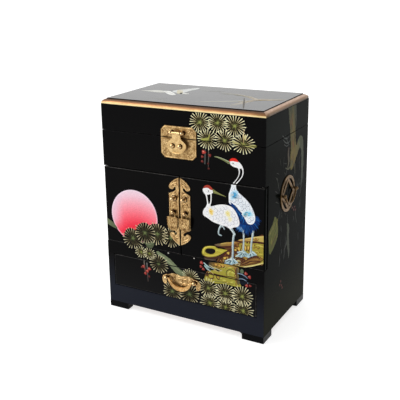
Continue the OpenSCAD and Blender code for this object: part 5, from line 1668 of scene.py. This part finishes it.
def flower(c, x, z, rx, rz, petal, heart, layer):
    """A loose spot of brushed colour that fades into the white."""
    g = c.rnd
    c.blob(x, z, rx * 1.2, rz * 1.2, tuple((p + 240) / 2 for p in petal), layer - 0.4, (236, 236, 232), wob=0.12, n=18)
    for k in range(11):
        a, d = 2.4 * k, 0.72 * math.sqrt((k + 0.5) / 11)
        t = g.uniform(0, 1)
        c.blob(x + rx * d * math.cos(a), z + rz * d * math.sin(a), rx * g.uniform(0.16, 0.34), rz * g.uniform(0.14, 0.28),
               tuple(p + (h - p) * t * (1 - d) for p, h in zip(petal, heart)), layer + 0.02 * k, tuple((p * 2 + 238) / 3 for p in petal), a, 0.15, 10)
    c.blob(x - rx * 0.1, z, rx * 0.3, rz * 0.26, heart, layer + 0.5, petal, wob=0.2, n=10)


# rear crane
rear = [(75.6, 208.4), (74.6, 204), (72.8, 199), (71.4, 194), (71.2, 188), (71.8, 183), (74, 181.6), (79, 181.5), (83, 178.5), (85.4, 175.5),
        (88.6, 173), (91, 170), (93, 166.5), (95.4, 162.4), (98, 159.4), (102, 159), (105.6, 161), (107.6, 165), (107.6, 170), (106, 175.6),
        (103.4, 181), (100, 186), (95.6, 190.4), (90.6, 194.2), (85.6, 197.6), (82.4, 201), (81.2, 205), (81, 208.4)]
front.poly([(70.9, 181.4), (74.6, 182.8), (80, 180.6), (85, 176.4), (90, 171), (94, 166), (97, 160.8), (102, 159.6), (107, 163), (108, 170.6), (111.8, 170.6),
            (113.8, 166.6), (113, 161), (110.5, 156), (106.4, 152.4), (100.6, 150.6), (94, 150.8), (88.6, 151.6), (84.4, 153.4), (86.3, 156.4), (87, 160),
            (85.5, 166), (82.5, 171.5), (78.5, 176.2), (74.4, 179.4)], (6, 40, 92), 8, step=1.4, rough=0.2)
PL = [(5, 42, 98), (8, 54, 120), (14, 76, 148), (4, 28, 70), (22, 98, 166)]
# plume over the front crane's back: strands lean down to the right
for i in range(30):
    t = i / 29
    x0, z0 = 73.4 + 20.6 * t, 181.6 - 16.6 * t - 1.6 * math.sin(t * 3.1)
    a = math.radians(-52 - 26 * t + front.rnd.uniform(-7, 7))
    L = front.rnd.uniform(6, 9)
    front.stroke([(x0 - 0.4, z0 + 1.4, 0.4), (x0 + L * 0.5 * math.cos(a), z0 + L * 0.5 * math.sin(a), front.rnd.uniform(0.8, 1.3)), (x0 + L * math.cos(a - 0.2), z0 + L * math.sin(a - 0.2), 0.3)],
                 front.rnd.choice(PL[:4]), 8.6 + 0.02 * i, front.rnd.choice(PL))
# tail plume: strands fan down and out round the rear crane's rump
for i in range(46):
    t = i / 45
    if t < 0.55:
        s_ = t / 0.55
        x0, z0 = 84 + 16 * s_, 157.4 - 1.2 * s_
        a = math.radians(-124 + 40 * s_ + front.rnd.uniform(-6, 6))
        L = 9.5 + 3.4 * s_ + front.rnd.uniform(-2, 1.4)
    else:
        s_ = (t - 0.55) / 0.45
        x0, z0 = 101 + 7.6 * s_, 157.4 + 10.4 * s_
        a = math.radians(-82 + 78 * s_ + front.rnd.uniform(-6, 6))
        L = 12.4 - 5.2 * s_ + front.rnd.uniform(-1.6, 1)
    c1 = front.rnd.choice(PL)
    front.stroke([(x0, z0, 1.5), (x0 + L * 0.5 * math.cos(a), z0 + L * 0.5 * math.sin(a), 1.3), (x0 + L * math.cos(a - 0.12), z0 + L * math.sin(a - 0.12), 0.25)],
                 front.rnd.choice(PL[:3]), 9 + 0.01 * i, c1)
for i in range(12):
    t = i / 11
    x0, z0 = 84.4 + 24 * t, 155.4 + 2.4 * t * t * 3 - 2
    a = math.radians(-118 + 72 * t)
    L = front.rnd.uniform(5, 8)
    front.stroke([(x0, z0, 0.3), (x0 + L * 0.6 * math.cos(a), z0 + L * 0.6 * math.sin(a), 0.7), (x0 + L * math.cos(a), z0 + L * math.sin(a), 0.25)], (5, 10, 20), 9.6)
for i in range(8):
    x0, z0 = 80.4 + 1.25 * i, 155.2 - 0.25 * i
    L = front.rnd.uniform(5.4, 8.4)
    a = math.radians(-58 - 2 * i)
    front.stroke([(x0, z0, 0.25), (x0 + L * 0.45 * math.cos(a), z0 + L * 0.45 * math.sin(a), 0.62), (x0 + L * math.cos(a), z0 + L * math.sin(a), 0.2)],
                 (176, 204, 222) if i % 2 else (64, 138, 196), 9.8, (70, 130, 186))
front.poly(rear, (232, 237, 241), 10, rough=0.08)
for i in range(26):
    t = i / 25
    x0, z0 = 75 + 14.6 * t, 182.8 - 13 * t
    a = math.radians(-34 - 34 * t + front.rnd.uniform(-8, 8))
    L = front.rnd.uniform(5.6, 8.4) * (1 - 0.35 * abs(t - 0.5))
    front.stroke([(x0 - 1, z0 + 0.6, 1.2), (x0 + L * 0.5 * math.cos(a), z0 + L * 0.5 * math.sin(a), front.rnd.uniform(1.0, 1.5)), (x0 + L * math.cos(a - 0.25), z0 + L * math.sin(a - 0.25), 0.25)],
                 front.rnd.choice(PL[:2]), 12.8 + 0.01 * i, front.rnd.choice([(8, 52, 116), (14, 74, 150), (40, 124, 190)]))
scales(front, rear, math.radians(-52), 11, 5.2, (122, 134, 158), 0.5)
for x, z, rx, rz, rot, c1, c2 in ((79.6, 195.2, 5.4, 5.6, -0.6, (84, 184, 226), (206, 228, 240)), (77.2, 190.8, 5, 4.4, 0.3, (132, 202, 232), (230, 238, 242)),
                                  (99.2, 172.4, 7.0, 4.6, 0.3, (96, 192, 228), (224, 236, 240)), (93.4, 171, 4.6, 3.4, 0.3, (140, 206, 226), (230, 238, 240))):
    front.blob(x, z, rx, rz, c1, 11.6, c2, rot, 0.14, 18)
for x, z, L, a in ((79.8, 196.4, 4.0, -0.4), (79, 194, 4.4, -1.2), (81.4, 194.4, 3.6, 0.6), (77.8, 192, 3.4, 0.4), (80.4, 191.8, 2.8, 0.1), (96, 174.2, 4.8, 0.15), (100.4, 173.6, 4, 0.35), (94.4, 171.4, 4, -0.2), (99, 170.6, 3.4, 0.1)):
    front.stroke([(x - L / 2 * math.cos(a), z - L / 2 * math.sin(a), 0.4), (x, z, 1.7), (x + L / 2 * math.cos(a), z + L / 2 * math.sin(a), 0.4)], (58, 164, 216) if z > 185 else (92, 184, 214), 12.2)
for k in range(5):
    front.stroke([(77.4 + 1.8 * k, 198.4 - 0.8 * k, 0.3), (78.4 + 1.8 * k, 194.6 - 0.6 * k, 0.45), (77.6 + 1.8 * k, 190.6 - 0.3 * k, 0.3)], (86, 104, 128), 12.5)
# neck and head
front.stroke([(88.6, 233, 2.6), (90.6, 228.6, 1.6), (90.8, 224, 1.2), (89.4, 219.4, 1.05), (86, 214.4, 1.0), (82, 209.6, 1.3), (80.2, 206.8, 1.6)], WHITE, 10)
front.stroke([(84.4, 231, 2.0), (85.8, 227, 1.6), (85.6, 222.4, 1.05), (83.8, 217.6, 0.85), (80.4, 212.6, 1.05), (78, 209.4, 1.6), (77.2, 206.8, 2.4)], (232, 232, 232), 10)
front.poly([(72, 236.6), (74.6, 232.8), (78.4, 230.9), (82.6, 230.4), (86, 229.6), (88.4, 230), (90, 230.6), (89.4, 233.6), (87, 236.6), (84.6, 238.4), (80, 239), (75.6, 238.8)], WHITE, 11, rough=0.05)
front.poly([(72, 237.3), (73.4, 240.2), (76, 242.1), (79.4, 242.4), (82.4, 241), (84.6, 238.2), (81.6, 238), (77.6, 238.3), (74.4, 237.9)], (222, 44, 34), 12, rough=0.05)
front.poly([(72.6, 237.2), (72.2, 233.9), (66, 236.6), (58, 239.6), (52, 240.8), (50.8, 241.5), (56, 241.9), (64, 240)], (126, 132, 92), 11, rough=0.05)
front.stroke([(71.8, 237, 0.5), (62, 240.2, 0.7), (54, 241.5, 0.4)], (196, 204, 176), 12, (150, 160, 120))
front.stroke([(72, 235.4, 0.9), (66, 237.6, 0.8), (60, 239.4, 0.4)], (104, 112, 62), 12, (112, 118, 70))
front.blob(77.4, 235.6, 0.9, 0.75, (46, 50, 52), 13, wob=0.05, n=10)
front.stroke([(74.4, 235.8, 0.35), (77, 234.2, 0.5), (80.4, 234.4, 0.3)], (196, 200, 202), 13)
# legs
LEG, LEG2 = (186, 200, 202), (158, 178, 184)


def leg(path, layer):
    """A pale leg with a shaded right edge, a lit left edge and fine rings."""
    front.stroke(path, LEG, layer, LEG2, rough=0.12)
    front.stroke([(x + w * 0.3, z, w * 0.28) for x, z, w in path], (138, 158, 164), layer + 0.3, (124, 148, 156))
    front.stroke([(x - w * 0.26, z, w * 0.24) for x, z, w in path], (224, 232, 230), layer + 0.3, (206, 220, 220))
    p = catmull(path, False, 2.2)
    for x, z, w in p[1:-1:2]:
        k = front.rnd.uniform(-0.25, 0.25)
        front.stroke([(x - w * 0.3, z + k, 0.2), (x + w * 0.34, z - 0.2 + k, 0.4)], (120, 142, 150), layer + 0.5)


leg([(91.2, 151, 2.6), (92.2, 144, 2.3), (92.2, 134, 2.1), (91.8, 121, 2.3)], 7)
leg([(105, 151, 3), (104.4, 144, 2.6), (103, 135, 2.2), (102.4, 122, 2.5)], 7)
# front crane
fcrane = [(40.4, 176.6), (38.4, 172.6), (35.6, 169), (34, 164.6), (35.4, 160.4), (40, 158.4), (44.4, 156), (49.4, 153.7), (56, 152.4), (62, 151.4),
          (68, 150.4), (73, 148.6), (76, 149.6), (78.6, 151.4), (82.6, 152.4), (85.6, 155), (86.4, 158.6), (85.2, 164), (83, 169), (79.8, 174), (75.6, 177.6),
          (70, 179.3), (64, 179.5), (57, 178.2), (50, 175.8), (45.8, 174.3), (44.6, 176.6)]
front.poly(fcrane, WHITE, 14, rough=0.08)
scales(front, fcrane, math.radians(-8), 15, 5.0, (168, 171, 186), 0.48)
flower(front, 46.2, 167.2, 4.0, 5.4, (240, 206, 84), (214, 150, 30), 16.4)
flower(front, 70.2, 168.2, 4.2, 5.2, (238, 224, 140), (222, 194, 88), 16.4)
flower(front, 73, 161.6, 3.2, 3.8, (240, 232, 178), (228, 214, 136), 16.4)
front.stroke([(38.4, 191, 2.2), (39.9, 186, 1.7), (40.9, 180, 1.5), (41.6, 175.6, 2.4)], WHITE, 14)
front.stroke([(46, 191.4, 1.8), (46.2, 186, 1.5), (45.6, 180, 1.6), (43.8, 175.6, 2.2)], (234, 234, 234), 14)
front.poly([(34.2, 195.8), (35, 192.4), (37.4, 189.7), (41, 189.2), (45, 190.6), (48.6, 192.6), (49.8, 195.2), (47.4, 197), (42.4, 198.2), (37.6, 198)], WHITE, 15, rough=0.05)
front.poly([(35.2, 197.2), (36.6, 199.9), (40, 202), (44, 201.9), (47.2, 199.4), (48.8, 196.8), (45.4, 196.5), (42, 198.3), (38, 198)], (166, 58, 44), 16, rough=0.05)
front.poly([(48.8, 197.8), (54, 195.4), (60, 192.9), (68, 190.1), (62, 190.9), (54, 192.1), (49.4, 192.9)], (116, 118, 66), 15, rough=0.05)
front.stroke([(49.6, 195.2, 0.6), (57, 193.3, 0.5), (65, 191, 0.4)], (160, 162, 104), 16)
front.blob(42.6, 194.4, 0.9, 0.75, (52, 56, 60), 17, wob=0.05, n=10)
front.stroke([(38.6, 193.4, 0.3), (42, 192.6, 0.5), (46.4, 193.6, 0.3)], (198, 202, 204), 17)
leg([(73.4, 150.4, 4.4), (76.4, 146.4, 3.4), (79, 143, 3.2), (78, 138.6, 2.8), (77, 128, 2.7), (77, 117, 2.7), (76.4, 108, 2.7)], 13)
front.blob(79, 142.4, 1.9, 1.5, (206, 216, 214), 13.6, (176, 192, 196))
leg([(61.4, 152, 3), (58, 147, 2.4), (56.6, 141.6, 2), (57, 138.4, 2), (60.8, 137.3, 1.6)], 13)
leg([(62, 151, 2), (65.2, 146.6, 1.3)], 13)

# ---- right side: a bare tree with a few leaves, thin paint
side_c = Canvas(lambda y, z: (YF + y * (YB - YF) / 150, levels(z)), 11)
sr = side_c.rnd
GG, GG2, YB_, YB2 = (74, 78, 56), (66, 70, 56), (104, 88, 46), (92, 76, 40)
side_c.stroke([(85, 300, 25), (87, 284, 22), (90, 266, 19), (92, 250, 17)], (60, 66, 52), 0, (92, 84, 46), rough=0.8)
side_c.stroke([(91, 262, 12), (93, 246, 17), (95, 234, 23), (93, 224, 21), (88, 213, 9)], (98, 88, 44), 0.6, (104, 92, 40), rough=0.8)
side_c.stroke([(88, 296, 6), (90, 280, 7), (92, 262, 7), (94, 244, 8), (93, 228, 5)], (84, 80, 48), 0.8, (124, 104, 40), rough=0.5)
side_c.stroke([(94, 232, 20), (102, 231, 15), (110, 236, 12), (116, 240, 10)], (112, 96, 44), 0.9, (84, 86, 54), rough=0.6)
side_c.stroke([(112, 240, 11), (119, 244, 12), (125, 241, 10), (128.5, 228, 8), (130, 210, 8), (129, 192, 6), (127, 178, 3)], GG, 0.7, (44, 52, 46), rough=0.6)
for k in range(58):
    t = sr.uniform(0, 1)
    y, z = 84 + 12 * t + sr.uniform(-7, 7), 298 - 82 * t
    L = sr.uniform(6, 16)
    side_c.stroke([(y, z, 0.6), (y + sr.uniform(-1, 1.6), z - L / 2, sr.uniform(0.8, 2)), (y + sr.uniform(-1, 2), z - L, 0.5)],
                  sr.choice([(84, 88, 60), (52, 54, 40), (124, 104, 46), (66, 54, 34), (96, 94, 58), (108, 70, 44)]), 1.4)
for k in range(14):
    t = k / 13
    y, z = 116 + 13 * math.sin(t * 1.6), 243 - 46 * t * t
    side_c.stroke([(y - 2, z, 0.5), (y + sr.uniform(-1, 1), z - 4, 1.2), (y + 1, z - 9, 0.5)], sr.choice([(90, 94, 76), (60, 66, 54), (78, 84, 66)]), 1.4)
side_c.stroke([(77, 243, 3), (76, 234, 5.5), (78, 224, 5), (74, 216, 2)], (70, 60, 52), 1.1, (74, 70, 48), rough=0.3)
side_c.stroke([(89, 222, 5), (84, 216, 4), (76, 214, 2.6), (66, 218, 1)], (84, 78, 46), 1.2, (56, 58, 44), rough=0.3)
side_c.stroke([(99, 296, 5), (101, 280, 4), (101, 266, 2)], (58, 62, 50), 1.5, (52, 54, 44), rough=0.3)
for pts in ([(54, 264, 1), (62, 259, 1.6), (70, 257, 1.4), (76, 259, 0.8)], [(56, 258, 0.8), (66, 252, 1.6), (74, 250, 1.8), (80, 252, 1)], [(60, 251, 0.6), (68, 247, 1.3), (76, 247, 1.2)], [(64, 262, 0.6), (72, 252, 1.2), (78, 246, 0.8)]):
    side_c.stroke(pts, (70, 74, 70), 1.6, (52, 56, 54))
for k in range(46):
    y, z = sr.uniform(40, 134), sr.uniform(150, 226)
    if math.hypot(y - 78, (z - 181)) < 28:
        continue
    a = 1.57 + sr.uniform(-0.8, 0.8) + (0.5 if y < 78 else -0.5)
    L = sr.uniform(5, 12)
    side_c.stroke([(y, z, 0.6), (y + L / 2 * math.cos(a) + 0.6, z + L / 2 * math.sin(a), 1), (y + L * math.cos(a), z + L * math.sin(a), 0.4)], sr.choice([(34, 38, 32), (42, 46, 38), (30, 34, 30)]), 1, (48, 50, 42))
for k in range(36):
    y, z = sr.choice([sr.uniform(96, 140), sr.uniform(44, 78)]), sr.uniform(100, 240)
    L = sr.uniform(8, 20)
    side_c.stroke([(y, z, 0.6), (y + sr.uniform(-2, 2), z - L / 2, sr.uniform(1.2, 3)), (y + sr.uniform(-3, 3), z - L, 0.6)], sr.choice([(12, 20, 16), (22, 30, 26), (10, 14, 14), (26, 32, 24)]), 0.8, (16, 20, 18), rough=0.3)
# leaf standing on the log's end, carried round the corner
side_c.poly([(13, 147), (20, 151), (27, 156), (32, 162), (38, 158), (42, 150), (44, 142), (43, 133), (37, 126), (28, 120), (19, 116), (15, 120), (13.4, 130), (12.4, 140)], (84, 88, 34), 1, rough=0.5)
for k in range(34):
    t = sr.uniform(0, 1)
    y, z = 15 + 26 * t, 124 + 24 * sr.uniform(0, 1) + 8 * t
    side_c.stroke([(y - 2, z - 2, 0.5), (y, z, sr.uniform(1, 2.2)), (y + 2, z + 3, 0.5)], sr.choice([(116, 110, 44), (66, 72, 28), (98, 98, 40), (132, 120, 56)]), 1.8)
side_c.stroke([(20, 123, 0.8), (27, 128, 2.4), (34, 133, 2.2), (41, 136, 0.9)], (82, 60, 34), 2.4, (70, 50, 30), rough=0.2)
side_c.stroke([(14, 143, 0.8), (22, 147, 1.4), (30, 155, 1.2)], (124, 118, 66), 2.4)
side_c.stroke([(77, 138, 4), (81, 130, 8), (80, 118, 8), (82, 106, 8), (85, 96, 6), (84, 87, 2)], (56, 62, 46), 1, (44, 48, 38), rough=0.6)
side_c.stroke([(80, 134, 2), (81, 120, 3), (83, 104, 3), (84, 92, 1.4)], (62, 66, 52), 1.6, (52, 56, 44), rough=0.3)
side_c.stroke([(80, 118, 3), (74, 110, 4), (68, 104, 2.4)], (42, 46, 38), 1, (36, 39, 33), rough=0.4)
for y, z in ((100, 151), (104, 154), (96, 155), (107, 149), (60, 57), (54, 60), (57, 64), (63, 53)):
    berry(side_c, y, z, 1.9, 0.42, 4)

# ---- top: a flying crane and a bare branch, faint
top_c = Canvas(lambda x, y: (x * 1.0, YF + 6.3 + (y - 6) * ((YB - YF - 12.6) / 140)), 17)
tr = top_c.rnd
TW, TWD = (232, 233, 226), (206, 206, 190)
top_c.poly([(-102, 75.5), (-94, 79), (-86, 84), (-77, 86), (-68, 83), (-60, 78), (-64, 72.6), (-74, 71), (-86, 73)], TWD, 0)
top_c.poly([(-70, 84), (-62, 86), (-54, 80), (-46, 72), (-40, 64.6), (-41, 59.6), (-46, 60), (-54, 66), (-62, 74)], TW, 1)
top_c.poly([(-57, 86), (-57, 97), (-51, 106), (-45, 116), (-39, 126), (-33, 124), (-33, 112), (-36, 98), (-36, 88), (-38, 78), (-47, 78)], (200, 204, 200), 1)
top_c.poly([(-55, 98), (-50, 102), (-43, 92), (-37, 80), (-36, 73), (-42, 73), (-49, 84)], (190, 178, 130), 2)
top_c.poly([(-40, 80), (-31, 80), (-25, 76.4), (-30, 73), (-38, 74)], (210, 208, 196), 2)
for i in range(11):
    t = i / 10
    top_c.stroke([(-54 + 15 * t, 99 + 18 * t, 0.4), (-48 + 12 * t, 96 + 15 * t, 1.0), (-42 + 7 * t, 90 + 16 * t, 0.4)], (158, 160, 156), 3, (226, 228, 222))
    top_c.stroke([(-98 + 32 * t, 76 + 3 * t, 0.5), (-90 + 30 * t, 75.6 + 1.6 * t, 0.9), (-84 + 28 * t, 74.6, 0.4)], (160, 160, 152), 3, (220, 220, 208))
    top_c.stroke([(-66 + 20 * t, 82 - 14 * t, 0.4), (-62 + 20 * t, 79 - 14 * t, 0.9)], (172, 172, 158), 3)
BR, BR2, TWIG = (150, 126, 76), (122, 112, 76), (104, 102, 78)
top_c.stroke([(114, 86, 5), (104, 83.5, 7), (92, 80, 8), (82, 76.5, 9), (76, 70, 9)], BR2, 0, BR, rough=0.5)
top_c.stroke([(77, 72, 8), (73, 60, 9), (70, 47, 8), (66, 32, 6), (63, 21, 2)], BR, 0, BR2, rough=0.5)
top_c.stroke([(75, 76, 6), (66, 83, 7), (57, 90, 7), (46, 95.6, 6), (36, 100, 4), (22, 102, 2.6), (8, 103, 1)], BR, 0.4, TWIG, rough=0.5)
top_c.stroke([(72, 60, 5), (56, 52, 5), (40, 43, 5), (24, 34, 4), (10, 26, 1.6)], (150, 148, 122), 0.8, (126, 128, 112), rough=0.4)
top_d = Canvas(top_c.warp, 19)
top_d.stroke([(58, 76, 1.2), (66, 58, 2.1), (76, 34, 2.3), (85.6, 12, 1.2)], (84, 78, 68), 4.4, (92, 86, 76), rough=0.1)
top_d.stroke([(84, 74, 1.0), (77, 66, 1.8), (72, 56, 1.8), (70, 44, 1.0)], (112, 92, 58), 4.2, (120, 102, 70), rough=0.2)
top_d.stroke([(110, 84, 0.9), (98, 80, 1.6), (88, 76, 1.6), (80, 73, 0.9)], (118, 98, 62), 4.2, (112, 92, 58), rough=0.2)
top_d.stroke([(70, 80, 0.8), (58, 88, 1.5), (46, 94, 1.4), (34, 98, 0.8)], (126, 110, 76), 4.2, (130, 120, 92), rough=0.2)
top_c.stroke([(91, 122, 0.6), (98, 104, 1.0), (106, 86, 0.5)], (70, 66, 58), 2.4)
for k in range(40):
    t = tr.uniform(0, 1)
    x, y = 62 + 50 * t, 46 + 40 * t ** 0.6 + tr.uniform(-3, 3)
    top_c.stroke([(x - 3, y - 2, 0.4), (x, y, tr.uniform(0.8, 1.8)), (x + 4, y + 2.6, 0.4)], tr.choice([(150, 130, 86), (96, 86, 60), (132, 120, 88), (160, 142, 100)]), 1.4)
for k in range(16):
    t = tr.uniform(0, 1)
    x, y = 60 - 52 * t, 89 + 13 * t + tr.uniform(-3, 3)
    top_c.stroke([(x - 4, y - 1, 0.4), (x, y, 1.2), (x + 5, y + 1.4, 0.4)], tr.choice([(120, 120, 92), (98, 98, 76), (132, 122, 88)]), 1.4)
for x, y, L, a in ((-46, 30, 12, 0.2), (-38, 24, 9, -0.4), (-8, 112, 14, 0.1), (4, 110, 10, 0.3), (-14, 108, 9, -0.3)):
    top_c.stroke([(x - L * math.cos(a), y - L * math.sin(a), 0.5), (x, y, 1.8), (x + L * math.cos(a), y + L * math.sin(a), 0.5)], (112, 114, 98), 1, (96, 98, 84), rough=0.3)

INS = 0.2
regions = [
    ("lid_front_paint", (-HW + INS, Z_LID + INS, HW - INS, Z_CAP - 0.3), on_front(0, 0), "lid"),
    ("tray_front_paint", (-HW + INS, Z_TRAY + INS, HW - INS, Z_SEAM - INS), on_front(0, 0), "case"),
    ("door_left_paint", (-HW + 1.6, D0 + 0.35, -1.0, D1 - 0.35), on_front(0, 0), "door_left"),
    ("door_right_paint", (1.0, D0 + 0.35, HW - 1.6, D1 - 0.35), on_front(0, 0), "door_right"),
    ("rail_paint", (-HW + INS, Z_RAIL + 0.3, HW - INS, Z_DOOR - INS), on_front(0, 0), "case"),
    ("drawer_paint", (_drawf[0].x + 0.3, _drawf[0].z + 0.3, _drawf[1].x - 0.3, _drawf[1].z - 0.3), on_front(0, 0), "wide_drawer"),
]
for name, rect, place, body in regions:
    lay(front, name, rect, place, body, PAINT)
lay(side_c, "lid_side_paint", (YF + 1, Z_LID + INS, YB - 1, Z_CAP - 0.3), on_side(0, 0), "lid", PAINT_DIM)
lay(side_c, "case_side_paint", (YF + 11, Z_APRON + 1, YB - 1, Z_SEAM - INS), on_side(0, 0), "case", PAINT_DIM)
lay(top_c, "lid_top_paint", (_panel[0].x + 0.8, _panel[0].y + 0.8, _panel[1].x - 0.8, _panel[1].y - 0.8), lambda u, v, h: (u, v, _panel[1].z + h), "lid", PAINT_TOP)
lay(top_d, "lid_twig_paint", (_panel[0].x + 0.8, _panel[0].y + 0.8, _panel[1].x - 0.8, _panel[1].y - 0.8), lambda u, v, h: (u, v, _panel[1].z + h), "lid", PAINT_DIM)
